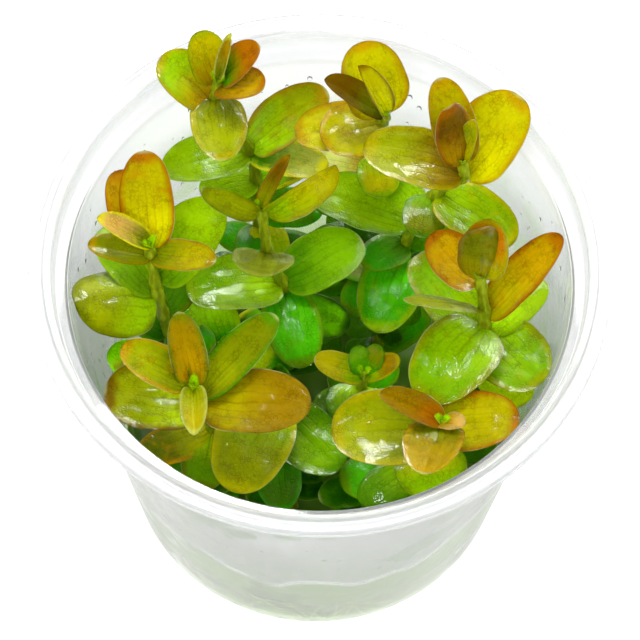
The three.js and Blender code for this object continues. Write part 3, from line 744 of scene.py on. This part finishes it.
def stem_material(colour):
    """Olive green stem skin with pale streaks and brown clouds."""
    material, net, shader = new_material("stem_skin")
    here = object_place(net)
    x, y, z = net.split(here)
    streaks = net.noise(net.vector(x, y, z * 0.12), 1400, 2.0, 0.6)
    body = net.mix(net.ramp(streaks, 0.35, 0.7), (*colour, 1), (0.42, 0.52, 0.01, 1))
    body = net.mix(net.ramp(net.noise(here, 240), 0.52, 0.72) * 0.5, body, (0.16, 0.15, 0.004, 1))
    looks = {
        "Base Color": body,
        "Roughness": streaks * 0.25 + 0.22,
        "Normal": bumped(net, streaks, 0.5, 0.0002),
        "Coat Weight": net.ramp(net.noise(here, 500, 1.0), 0.55, 0.62) * 0.8,
        "Coat Roughness": 0.08,
        "Specular IOR Level": 0.16,
        "Subsurface Weight": 0.5,
        "Subsurface Radius": (1.0, 1.0, 0.1),
        "Subsurface Scale": 0.001,
    }
    apply_looks(net, shader, looks)
    return material


def cup_material(colour, clearness):
    """Milky polypropylene, with a clear rim, a misted inside and the gel's green film low on the wall."""
    # Heights, and one pair of radii, between which the finish of the wall changes.
    under_rim = (0.0775, 0.0735)
    over_ledge = (0.0755, 0.0770)
    inside_rim = (0.0470, 0.0460)
    mist_edge = (0.070, 0.058)
    painted_green_light = (0.060, 0.030)
    gel_edge = (0.0165, 0.0130)
    tide_height = 0.031
    tide_swing = 0.030

    material, net, shader = new_material("milky_plastic")
    here = object_place(net)
    x, y, z = net.split(here)
    radius = net.math("SQRT", x * x + y * y)
    below = net.ramp(z, *under_rim)
    cone = net.ramp(radius, *inside_rim) * net.ramp(z, *over_ledge)

    # The film climbs the wall to an uneven, pale tide line.
    level = tide_height + (net.noise(net.vector(x, y, 0.0), 42) - 0.5) * tide_swing
    film = net.ramp(z - level, 0.001, -0.003)
    tide = net.peak(z, level, 0.0013) * net.ramp(net.noise(here, 90, 1.0), 0.30, 0.50)
    sunk = net.ramp(z, *gel_edge)

    # Above it the wall is misted, with clear patches in pale lips and with paler runs.
    misted = net.ramp(z, *mist_edge)
    spots = net.out("ShaderNodeTexVoronoi", {"Vector": warped(net, here, 130.0, 0.014), "Scale": 88.0})
    spots = spots + (net.noise(here, 170) - 0.5) * 0.55 + (net.noise(here, 40, 1.0) - 0.5) * 0.9
    clear = net.ramp(spots, 0.46, 0.30) * misted
    lip = net.peak(spots, 0.52, 0.03) * misted
    runs = net.ramp(net.noise(net.vector(x, y, z * 0.12), 420), 0.46, 0.66) * misted

    body = (*colour, 1)
    for share, tone in (
        (misted * 0.7, (0.86, 0.89, 0.85, 1)),
        # Painted green light of the leaves and gel behind the wall, stronger toward the bottom.
        (net.ramp(z, *painted_green_light) * 0.7, (0.70, 0.79, 0.62, 1)),
        (runs * 0.35, (0.92, 0.94, 0.93, 1)),
        (film * 0.85, (0.58, 0.76, 0.38, 1)),
        (clear * 0.62, (0.50, 0.64, 0.36, 1)),
        (sunk * 0.8, (0.76, 0.90, 0.56, 1)),
        (net.most(tide, lip * 0.5) * 0.7, (0.97, 0.98, 0.98, 1)),
    ):
        body = net.mix(share, body, tone)
    haze = misted - clear * 0.8 - film * 0.4 - sunk * 0.4
    opened = cone * 0.20 + below * 0.24 + clear * 0.10 + sunk * 0.16
    looks = {
        "Base Color": body,
        "Roughness": 0.08 + below * 0.03 + haze * 0.10 + net.noise(here, 900) * 0.05,
        "Transmission Weight": clearness + opened - misted * 0.12 - tide * 0.2,
        "Normal": bumped(net, net.noise(here, 260), 0.07, 0.0004),
        "IOR": 1.49,
    }
    apply_looks(net, shader, looks)
    return material


def gel_material(colour):
    """Cloudy green growing gel."""
    material, net, shader = new_material("growing_gel")
    haze = net.noise(object_place(net), 120, 3.0, 0.6)
    looks = {
        "Base Color": net.mix(haze, (*colour, 1), (0.20, 0.34, 0.04, 1)),
        "Roughness": haze * 0.2 + 0.12,
        "IOR": 1.34,
        "Subsurface Weight": 0.6,
        "Subsurface Radius": (1.0, 1.0, 0.8),
        "Subsurface Scale": 0.004,
        "Transmission Weight": 0.15,
    }
    apply_looks(net, shader, looks)
    return material


def root_material():
    """Pale yellow-green root skin."""
    material, net, shader = new_material("root_skin")
    streaks = net.noise(object_place(net), 700)
    body = net.mix(streaks, (0.62, 0.72, 0.14, 1), (0.86, 0.88, 0.44, 1))
    apply_looks(net, shader, {"Base Color": body, "Roughness": streaks * 0.3 + 0.3})
    return material


def water_material():
    """Clear condensed water, with a slight surface ripple."""
    material, net, shader = new_material("condensed_water")
    looks = {
        "Base Color": (1, 1, 1, 1),
        "Roughness": net.noise(object_place(net), 900, 1.0) * 0.06,
        "IOR": 1.333,
        "Transmission Weight": 1.0,
    }
    apply_looks(net, shader, looks)
    return material


# Leaves


def leaf_net():
    """One leaf: two sheets with one outline, arched, cupped, folded and rolled, closed along the margin."""
    inputs = {"Foot": "Vector", "Heart": "Color", "Blade": "Color", "Rim": "Color", "Material": "Material"}
    sizes = ("Turn", "Rise", "Length", "Width", "Bend", "Cup", "Fold", "Roll", "Thickness")
    for label in (*sizes, "Margin wave", "Vein depth", "Seed"):
        inputs[label] = "Float"
    for label in ("Stations", "Strips"):
        inputs[label] = "Int"
    net, given = geometry_net("Leaf", inputs)
    grid = {"Size X": 1.0, "Size Y": 2.0, "Vertices X": given["Stations"], "Vertices Y": given["Strips"]}
    sheet = net.out("GeometryNodeMeshGrid", grid)
    gx, gy, _ = net.split(net.out("GeometryNodeInputPosition"))
    # Closer steps near the margin, the foot and the tip.
    along = 0.5 - 0.5 * net.cos((gx + 0.5) * math.pi)
    across = net.sin(gy * (math.pi / 2))
    both = net.node("GeometryNodeJoinGeometry")
    for sign in (1.0, -1.0):
        face = net.out("GeometryNodeFlipFaces", {"Mesh": sheet}) if sign < 0 else sheet
        face = store(net, face, "place", net.vector(across, along, sign), "FLOAT_VECTOR")
        net.feed(both.inputs[0], face)
    t, s, side = net.split(stored_value(net, "place", "FLOAT_VECTOR"))

    # The outline is a full oval, widest a little below the middle, with a slightly uneven edge.
    oval = 2.2
    low_belly = 0.85
    unevenness = 0.12
    full = (1.0 - net.abs(2.0 * s**low_belly - 1.0) ** oval) ** (1 / oval)
    hand = net.math("SIGN", t)
    seed = given["Seed"]
    ragged = net.noise(net.vector(s * 2.6, hand, seed), 1.0) - 0.5
    half = given["Width"] * 0.5 * full * (1.0 + ragged * unevenness * net.abs(t))

    # The midrib is an arc.
    bend = given["Bend"]
    start = given["Rise"] - bend * 0.5
    slope = start + bend * s
    out = (net.sin(slope) - net.sin(start)) / bend * given["Length"]
    up = (net.cos(start) - net.cos(slope)) / bend * given["Length"]

    # Both halves rise by the fold and the cup. Thickness, waves, puckers and the midrib's groove come on top.
    soft_fold = 0.0016
    tip_taper = 0.35
    pucker_height = 0.15
    groove_width = 0.075
    reach = net.math("SQRT", t * t + soft_fold)
    lift = given["Fold"] + given["Cup"] * reach * 0.5
    slant = given["Fold"] * net.least(reach * 4.0, 1.0) + given["Cup"] * reach
    closing = net.least(net.least(s * 14.0, (1.0 - s) * 9.0), 1.0)
    lens = net.most(1.0 - t * t, 0.0) ** 0.72
    off = side * given["Thickness"] * 0.5 * lens * closing * (1.0 - tip_taper * s)
    wave = net.noise(net.vector(s * 2.1, hand * 2.0, seed + 7.0), 1.0, 1.0) - 0.5
    pucker = net.noise(net.vector(t * 2.4, s * 3.6, seed + 3.0), 1.0, 1.0) - 0.5
    groove = net.peak(t, 0.0, groove_width) * given["Vein depth"] * net.ramp(s, 1.0, 0.5) * closing
    shaped = wave * given["Margin wave"] * half * t * t * 2.0
    shaped = shaped + pucker * half * pucker_height * closing - groove
    sideways = half * t * net.cos(lift) - off * net.sin(slant) * hand
    raised = half * reach * net.sin(lift) + off * net.cos(slant) + shaped
    roll = given["Roll"]
    swing = sideways * net.cos(roll) - raised * net.sin(roll)
    height = sideways * net.sin(roll) + raised * net.cos(roll)
    place = net.vector(out - height * net.sin(slope), swing, up + height * net.cos(slope))
    moved = net.out("GeometryNodeSetPosition", {"Geometry": Value(net, both.outputs[0]), "Position": place})
    closed = net.out("GeometryNodeMergeByDistance", {"Geometry": moved, "Distance": SEAM})
    heading = net.vector(0.0, 0.0, given["Turn"])
    placing = {"Geometry": closed, "Translation": given["Foot"], "Rotation": heading}
    painted = net.out("GeometryNodeTransform", placing)
    for label in ("Heart", "Blade", "Rim"):
        painted = store(net, painted, label.lower(), given[label], "FLOAT_COLOR")
    return close_net(net, painted, given["Material"])


def stem_points(shoot):
    """The stem's axis as a centripetal Catmull-Rom curve through its points, in metres."""
    knots = [Vector(p) for p in SHOOTS[shoot]["stem"]]
    knots = [knots[0] * 2 - knots[1]] + knots + [knots[-1] * 2 - knots[-2]]
    spans = len(knots) - 3
    points = []
    for step in range(STEM_STEPS + 1):
        at = step / STEM_STEPS * spans
        k = min(int(at), spans - 1)
        p0, p1, p2, p3 = knots[k : k + 4]
        d1, d2, d3 = (max((b - a).length ** 0.5, 1e-4) for a, b in ((p0, p1), (p1, p2), (p2, p3)))
        m1 = ((p1 - p0) / d1 - (p2 - p0) / (d1 + d2) + (p2 - p1) / d2) * d2
        m2 = ((p2 - p1) / d2 - (p3 - p1) / (d2 + d3) + (p3 - p2) / d3) * d2
        w = at - k
        point = p1 * (2 * w**3 - 3 * w**2 + 1) + m1 * (w**3 - 2 * w**2 + w)
        point += p2 * (3 * w**2 - 2 * w**3) + m2 * (w**3 - w**2)
        points.append(point * MM)
    return points


def axis_at(points, height):
    """The point of the stem's axis at a height."""
    for low, high in zip(points, points[1:]):
        if low.z <= height <= high.z:
            return low.lerp(high, (height - low.z) / max(high.z - low.z, 1e-9))
    return points[-1]


def make_leaf(tree, name, points, row, kind, look, seed):
    """A leaf from its table row. It starts nearer the axis than its solid and ends where that ends."""
    plant = bpy.context.scene.bacopa_plant
    inset, shift, stations, strips = kind
    at, turn, rise, long, wide, bend, cup, fold, roll = row[:9]
    heart, blade, rim = (linear(PAINTS[colour]) for colour in row[9:12])
    heading = Vector((math.cos(math.radians(turn)), math.sin(math.radians(turn)), 0))
    arc = math.radians(bend or 0.1)
    chord = long * math.sin(arc / 2) / (arc / 2)
    ahead = chord * math.cos(math.radians(rise)) + shift
    above = chord * math.sin(math.radians(rise))
    values = {
        "Foot": tuple(axis_at(points, at * MM) + heading * (inset - shift) * MM),
        "Turn": math.radians(turn),
        "Rise": math.atan2(above, ahead),
        "Length": long * math.hypot(ahead, above) / chord * MM,
        "Width": wide * MM,
        "Bend": arc,
        "Cup": math.radians(cup),
        "Fold": math.radians(fold),
        "Roll": math.radians(roll),
        "Thickness": plant.leaf_thickness,
        "Margin wave": plant.margin_wave,
        "Vein depth": plant.vein_depth,
        "Seed": float(seed),
        "Stations": stations,
        "Strips": strips,
        "Heart": heart,
        "Blade": blade,
        "Rim": rim,
        "Material": look,
    }
    return grow(name, tree, values)


def low_leaves(name, points, number):
    """Rows for the hidden pairs of leaves low on a stem, within its solid's reach and short of the wall."""
    # The lowest pair's height, how far the pairs reach up among the listed leaves, and the lengths that are
    # left out before and after the wall is looked at.
    lowest = 19
    overlap = 8
    shortest = 6
    stub = 4
    wall_gap = 1.2
    roundness = 0.72
    droop = -20
    draw = random.Random(500 + number)
    low, high = (Vector(corner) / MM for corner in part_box(f"stem_{name}"))
    rows = []
    top = min(row[0] for row in SHOOTS[name]["leaves"] + SHOOTS[name]["young"]) + overlap
    height = lowest + draw.uniform(0, 4)
    turn = draw.uniform(0, 180)
    while height < top:
        inside = wall_radius(height * MM) / MM - wall_gap
        axis = axis_at(points, height * MM) / MM
        for half in (0, 180):
            heading = math.radians(turn + half)
            long = draw.uniform(10, 15)
            for middle, way, least, most in (
                (axis.x, math.cos(heading), low.x, high.x),
                (axis.y, math.sin(heading), low.y, high.y),
            ):
                room = (most - middle if way > 0 else middle - least) / max(abs(way), 0.05)
                long = min(long, room)
            if long > shortest:
                paints = draw.choice(LOW_PAINTS)
                slope = draw.uniform(0, 22)
                # The leaf's tip and its two sides stop short of the wall.
                for side, share in ((-0.45, 0.8), (0.0, 1.0), (0.45, 0.8)):
                    ray = Vector((math.cos(heading + side), math.sin(heading + side)))
                    ahead = axis.xy.dot(ray)
                    room = math.sqrt(ahead**2 + inside**2 - axis.xy.length_squared) - ahead
                    long = min(long, room / share)
                if long > stub:
                    shape = (slope, long, long * roundness, droop, 0, 0, 0)
                    rows.append((height, turn + half, *shape, *paints))
        height += draw.uniform(4, 5.5)
        turn += 90 + draw.uniform(-15, 15)
    return rows


def tip_buds(points):
    """Rows for the two smallest leaves that close over a shoot's tip."""
    tip = points[-1]
    turn = math.degrees(math.atan2(tip.y, tip.x)) + 40
    height = tip.z / MM - 1.2
    return [(height, turn + half, *BUD) for half in (0, 180)]


# Operators


class BACOPA_OT_cup(bpy.types.Operator):
    """Makes the milky plastic cup with its flange, bead and lid ledge"""

    bl_idname = "bacopa.cup"
    bl_label = "Cup"

    def execute(self, context):
        cup = context.scene.bacopa_cup
        inputs = {"Path radius": "Float", "Sides": "Int", "Edge radius": "Float", "Material": "Material"}
        net, given = geometry_net("Turned body", inputs)
        line = net.out("GeometryNodeMeshToCurve", {"Mesh": given["Geometry"]})
        rounding = {"Curve": line, "Count": 4, "Radius": given["Edge radius"], "Limit Radius": True}
        rounded = net.out("GeometryNodeFilletCurve", rounding, mode="POLY")
        tree = close_net(net, turned(net, given, rounded), given["Material"])

        def outside(height):
            return wall_radius(height) + cup.wall

        # From the middle of the base up the outside, over the flange and its bead, and down the inside.
        rim, edge, ledge = cup.rim_radius, cup.rim_height, cup.ledge_height
        foot = 0.0016
        low = 0.0028
        pole = 1e-6
        profile = [
            (pole, 0.0),
            (cup.base_radius - foot, 0.0),
            (outside(foot), foot),
            (outside(ledge - 0.0015), ledge - 0.0015),
            (rim - 0.0039, ledge),
            (rim - 0.0032, edge - 0.0008),
            (rim - 0.0012, edge - 0.0009),
            (rim - 0.0004, edge - 0.0013),
            (rim, edge - 0.0006),
            (rim - 0.0002, edge + 0.0001),
            (rim - 0.0008, edge + 0.0004),
            (rim - 0.0014, edge + 0.00005),
            (rim - 0.0023, edge + 0.00015),
            (rim - 0.00265, edge + 0.0008),
            (rim - 0.0035, edge + 0.0008),
            (rim - 0.0038, edge + 0.0002),
            (rim - 0.0045, ledge + 0.0005),
            (wall_radius(ledge), ledge - 0.0003),
            (wall_radius(low), low),
            (cup.base_radius - foot - cup.wall, cup.floor),
            (pole, cup.floor),
        ]
        path = 0.04
        look = cup_material(cup.plastic, cup.clearness)
        values = {"Path radius": path, "Sides": cup.sides, "Edge radius": 0.0004, "Material": look}
        piece = grow("cup_moulding", tree, values, outline("cup_profile", profile, path))
        tidy_mesh(piece, 3e-6)
        hand_over(piece, "cup_plastic", "cup")
        return {"FINISHED"}


class BACOPA_OT_gel(bpy.types.Operator):
    """Makes the growing gel, which creeps up the wall a little"""

    bl_idname = "bacopa.gel"
    bl_label = "Gel"

    def execute(self, context):
        gel = context.scene.bacopa_gel
        cup = context.scene.bacopa_cup
        inputs = {"Path radius": "Float", "Sides": "Int", "Material": "Material"}
        net, given = geometry_net("Gel body", inputs)
        line = net.out("GeometryNodeMeshToCurve", {"Mesh": given["Geometry"]})
        body = turned(net, given, line)
        x, y, z = net.split(net.out("GeometryNodeInputPosition"))
        on_top = net.ramp(z, gel.height * 0.8, gel.height)
        swell_height = 0.0016
        swell = (net.noise(net.vector(x, y, 0.0), 90) - 0.5) * swell_height * on_top
        uneven = net.out("GeometryNodeSetPosition", {"Geometry": body, "Offset": net.vector(0.0, 0.0, swell)})
        tree = close_net(net, uneven, given["Material"])

        # From the middle of the floor out, up the wall to the raised edge, and back over the sunken top.
        gap = 0.0003
        foot = 0.0016
        creep = 0.0008
        pole = 1e-6
        floor = cup.floor + gap
        top = gel.height - creep
        widest = wall_radius(top) - gap
        profile = [(pole, floor), (wall_radius(0) - gap - foot, floor), (wall_radius(0.003) - gap, 0.0031)]
        profile.append((widest, gel.height))
        steps = 25
        fall = 26
        for step in range(1, steps):
            share = step / steps
            profile.append((widest * (1 - share) + pole, top + creep * math.exp(-share * fall)))
        profile.append((pole, top))
        path = 0.02
        values = {"Path radius": path, "Sides": 96, "Material": gel_material(gel.colour)}
        piece = grow("gel_fill", tree, values, outline("gel_profile", profile, path))
        tidy_mesh(piece, 3e-6)
        hand_over(piece, "growing_gel", "gel")
        return {"FINISHED"}


class BACOPA_OT_shoots(bpy.types.Operator):
    """Makes each stem, with its ridges and nodes, and the small leaves that grow from it"""

    bl_idname = "bacopa.shoots"
    bl_label = "Stems and young leaves"

    def execute(self, context):
        plant = context.scene.bacopa_plant
        inputs = {"Foot radius": "Float", "Tip radius": "Float", "Sides": "Int", "Material": "Material"}
        net, given = geometry_net("Stem", inputs)
        spline = net.node("GeometryNodeSplineParameter")
        along = Value(net, spline.outputs["Factor"])
        left = net.out("GeometryNodeSplineLength") - Value(net, spline.outputs["Length"])
        point_length = 0.0022
        point = net.least(net.math("SQRT", net.most(left / point_length, 0.0)) + 0.12, 1.0)
        swelling = stored_value(net, "node", "FLOAT")
        radius = given["Foot radius"] + (given["Tip radius"] - given["Foot radius"]) * along
        circle = net.out("GeometryNodeCurvePrimitiveCircle", {"Resolution": given["Sides"], "Radius": 1.0})
        x, y, _ = net.split(net.out("GeometryNodeInputPosition"))
        ribs = 6.0
        rib_height = 0.07
        ridge = 1.0 + rib_height * net.cos(net.math("ARCTAN2", y, x) * ribs)
        ribbed = {"Geometry": circle, "Position": net.vector(x * ridge, y * ridge, 0.0)}
        profile = net.out("GeometryNodeSetPosition", ribbed)
        body = swept(net, given, profile, radius * (0.92 + 0.3 * swelling) * point)
        stem_tree = close_net(net, body, given["Material"])
        leaf_tree = leaf_net()
        skin = stem_material(plant.stem_colour)
        look = leaf_material("young_leaf", *YOUNG_FINISH)
        sizes = {"Foot radius": plant.stem_foot, "Tip radius": plant.stem_tip, "Sides": 24, "Material": skin}
        node_length = 0.0011
        for number, (name, shoot) in enumerate(SHOOTS.items()):
            points = stem_points(name)
            joints = [row[0] * MM for row in shoot["leaves"] + shoot["young"]]
            mesh = wire(name + "_axis", points, [(k, k + 1) for k in range(len(points) - 1)])
            swell = mesh.attributes.new("node", "FLOAT", "POINT")
            for k, place in enumerate(points):
                swell.data[k].value = max(math.exp(-(((place.z - h) / node_length) ** 2)) for h in joints)
            stem = grow(f"{name}_stem", stem_tree, sizes, mesh)
            tidy_mesh(stem)
            hand_over(stem, "stem", f"stem_{name}")
            rows = shoot["young"] + low_leaves(name, points, number) + tip_buds(points)
            young = []
            for k, row in enumerate(rows):
                seed = 40 * number + k
                young.append(make_leaf(leaf_tree, f"{name}_young_{k}", points, row, SMALL_LEAF, look, seed))
            piece = join(f"{name}_young_leaves", young)
            hand_over(piece, "leaf_green", f"stem_{name}")
        return {"FINISHED"}


class BACOPA_OT_leaves(bpy.types.Operator):
    """Makes the larger leaves, each in its own place on its stem"""

    bl_idname = "bacopa.leaves"
    bl_label = "Leaves"

    def execute(self, context):
        tree = bpy.data.node_groups.get("Leaf") or leaf_net()
        looks = {tone: leaf_material(f"leaf_{tone}", *values) for tone, values in FINISHES.items()}
        for number, (name, shoot) in enumerate(SHOOTS.items()):
            points = stem_points(name)
            for k, row in enumerate(shoot["leaves"]):
                tone = LEAF_TONES[name][k]
                seed = 100 + 10 * number + k
                piece = make_leaf(tree, f"{name}_leaf_{k + 1}", points, row, LARGE_LEAF, looks[tone], seed)
                hand_over(piece, f"leaf_{tone}", f"leaf_{name}_{k + 1}")
        return {"FINISHED"}


class BACOPA_OT_roots(bpy.types.Operator):
    """Makes the pale roots that run from the front stems to the wall and down between it and the gel"""

    bl_idname = "bacopa.roots"
    bl_label = "Roots"

    def execute(self, context):
        net, given = geometry_net("Root", {"Radius": "Float", "Material": "Material"})
        factor = Value(net, net.node("GeometryNodeSplineParameter").outputs["Factor"])
        circle = net.out("GeometryNodeCurvePrimitiveCircle", {"Resolution": 8, "Radius": 1.0})
        body = swept(net, given, circle, given["Radius"] * (1.0 - factor * 0.2))
        tree = close_net(net, body, given["Material"])
        look = root_material()
        draw = random.Random(11)
        radius = 0.0003
        off_wall = 0.00028
        inward = 9
        downward = 13

        def on_wall(turn, height):
            place = Vector((math.cos(turn), math.sin(turn), 0)) * (wall_radius(height) - off_wall)
            place.z = height
            return place

        for name, toward in (("front_left", 236), ("front", 264), ("front_right", 296)):
            foot = Vector(SHOOTS[name]["stem"][0]) * MM
            verts = []
            edges = []
            for _ in range(7):
                turn = math.radians(toward + draw.uniform(-17, 17))
                sweep = math.radians(draw.uniform(-16, 16))
                top = draw.uniform(12.0, 13.6) * MM
                low = draw.uniform(2.6, 5) * MM
                first = len(verts)
                for step in range(inward):
                    share = step / inward
                    arch = Vector((0, 0, math.sin(share * math.pi) * MM))
                    verts.append(foot.lerp(on_wall(turn, top), share) + arch)
                for step in range(downward):
                    share = step / (downward - 1)
                    verts.append(on_wall(turn + sweep * share, top + (low - top) * share))
                edges += [(k, k + 1) for k in range(first, len(verts) - 1)]
            mesh = wire(name + "_root_paths", verts, edges)
            piece = grow(f"{name}_roots", tree, {"Radius": radius, "Material": look}, mesh)
            tidy_mesh(piece)
            hand_over(piece, "stem", f"stem_{name}", "gel")
        return {"FINISHED"}


class BACOPA_OT_drops(bpy.types.Operator):
    """Scatters condensed drops on the inside of the wall"""

    bl_idname = "bacopa.drops"
    bl_label = "Drops"

    def execute(self, context):
        inputs = {"Density": "Float", "Smallest": "Float", "Largest": "Float", "Seed": "Int"}
        net, given = geometry_net("Drops", {**inputs, "Material": "Material"})
        scatter = net.node(
            "GeometryNodeDistributePointsOnFaces",
            {"Mesh": given["Geometry"], "Density": given["Density"], "Seed": given["Seed"]},
        )
        drop = net.out("GeometryNodeMeshUVSphere", {"Segments": 10, "Rings": 6, "Radius": 1.0})
        flat_and_long = (1.0, 1.35, 0.42)
        domed = net.out("GeometryNodeTransform", {"Geometry": drop, "Scale": flat_and_long})
        chance = {"Min": 0.0, "Max": 1.0, "Seed": given["Seed"]}
        draw = net.out("FunctionNodeRandomValue", chance, socket=1, data_type="FLOAT")
        size = given["Smallest"] + (given["Largest"] - given["Smallest"]) * draw**3.0
        drops = net.out(
            "GeometryNodeInstanceOnPoints",
            {
                "Points": Value(net, scatter.outputs["Points"]),
                "Instance": domed,
                "Rotation": Value(net, scatter.outputs["Rotation"]),
                "Scale": net.vector(size, size, size),
            },
        )
        tree = close_net(net, net.out("GeometryNodeRealizeInstances", {0: drops}), given["Material"])
        sides = 64
        bands = (0.024, 0.050, 0.064, 0.072)
        off_wall = 0.00005
        verts = []
        faces = []
        for height in bands:
            radius = wall_radius(height) - off_wall
            for k in range(sides):
                turn = 2 * math.pi * k / sides
                verts.append((radius * math.cos(turn), radius * math.sin(turn), height))
        for band in range(len(bands) - 1):
            for k in range(sides):
                a = band * sides + k
                b = band * sides + (k + 1) % sides
                faces.append((a, a + sides, b + sides, b))
        values = {"Density": 42000.0, "Smallest": 0.00018, "Largest": 0.0006, "Seed": 5}
        values["Material"] = water_material()
        piece = grow("condensed_drops", tree, values, wire("inner_wall", verts, [], faces))
        hand_over(piece, "cup_plastic", "cup")
        return {"FINISHED"}


class BACOPA_OT_stage(bpy.types.Operator):
    """Sets the plain white floor, the soft light and the camera"""

    bl_idname = "bacopa.stage"
    bl_label = "Stage"

    def execute(self, context):
        scene = context.scene
        stage = scene.bacopa_stage
        half = stage.floor_size / 2
        corners = [(-half, -half, 0), (half, -half, 0), (half, half, 0), (-half, half, 0)]
        mesh = wire("floor", corners, [], [(0, 1, 2, 3)])
        floor = bpy.data.objects.new("floor", mesh)
        scene.collection.objects.link(floor)
        material, net, shader = new_material("white_floor")
        looks = {
            "Base Color": (0.30, 0.30, 0.30, 1),
            "Roughness": 0.9,
            "Specular IOR Level": 0.0,
            "Emission Color": (1, 1, 1, 1),
            "Emission Strength": 0.95,
        }
        apply_looks(net, shader, looks)
        mesh.materials.append(material)

        world = bpy.data.worlds.new("even_white")
        world.use_nodes = True
        background = world.node_tree.nodes["Background"]
        background.inputs["Color"].default_value = (1, 1, 1, 1)
        background.inputs["Strength"].default_value = stage.sky
        scene.world = world

        # The world and the broad lamps light the plant softly. The panels behind it only show in wet skin.
        scene.world.cycles_visibility.glossy = False
        for name, (place, size, share, glints) in LAMPS.items():
            light = bpy.data.lights.new(name, "AREA")
            light.shape = "SQUARE"
            light.size = size
            light.energy = stage.softbox * share
            lamp = bpy.data.objects.new(name, light)
            lamp.location = place
            lamp.visible_glossy = glints
            lamp.visible_diffuse = not glints
            aim = Vector(LAMP_AIM) - Vector(place)
            lamp.rotation_euler = aim.to_track_quat("-Z", "Y").to_euler()
            scene.collection.objects.link(lamp)

        lens = bpy.data.cameras.new("camera")
        lens.lens = CAMERA_LENS
        lens.sensor_width = 36.0
        lens.clip_start = 0.01
        camera = bpy.data.objects.new("camera", lens)
        tilt = Matrix.Rotation(math.radians(CAMERA_TILT), 4, "X")
        roll = Matrix.Rotation(math.radians(CAMERA_ROLL), 4, "Z")
        camera.matrix_world = Matrix.Translation(CAMERA_PLACE) @ (tilt @ roll)
        scene.collection.objects.link(camera)
        scene.camera = camera
        scene.view_settings.view_transform = "Standard"
        return {"FINISHED"}


class BACOPA_PT_panel(bpy.types.Panel):
    """Lists the pieces of the plant and its cup"""

    bl_idname = "BACOPA_PT_panel"
    bl_label = "Bacopa in its cup"
    bl_space_type = "VIEW_3D"
    bl_region_type = "UI"
    bl_category = "Bacopa"

    def draw(self, context):
        for settings, operators in GROUPS.items():
            box = self.layout.box()
            group = getattr(context.scene, settings)
            for key in group.bl_rna.properties.keys():
                if key not in {"rna_type", "name"}:
                    box.prop(group, key)
            for operator in operators:
                box.operator(operator.bl_idname)


GROUPS = {
    "bacopa_cup": [BACOPA_OT_cup, BACOPA_OT_drops],
    "bacopa_gel": [BACOPA_OT_gel],
    "bacopa_plant": [BACOPA_OT_shoots, BACOPA_OT_leaves, BACOPA_OT_roots],
    "bacopa_stage": [BACOPA_OT_stage],
}
SETTINGS = {
    "bacopa_cup": CupSettings,
    "bacopa_gel": GelSettings,
    "bacopa_plant": PlantSettings,
    "bacopa_stage": StageSettings,
}
OPERATORS = [operator for operators in GROUPS.values() for operator in operators]


def register():
    for cls in [*SETTINGS.values(), *OPERATORS, BACOPA_PT_panel]:
        bpy.utils.register_class(cls)
    for name, cls in SETTINGS.items():
        setattr(bpy.types.Scene, name, bpy.props.PointerProperty(type=cls))


def unregister():
    for name in SETTINGS:
        delattr(bpy.types.Scene, name)
    for cls in reversed([*SETTINGS.values(), *OPERATORS, BACOPA_PT_panel]):
        bpy.utils.unregister_class(cls)


def main():
    register()
    for operator in OPERATORS:
        category, action = operator.bl_idname.split(".")
        getattr(getattr(bpy.ops, category), action)()


if __name__ == "__main__":
    main()
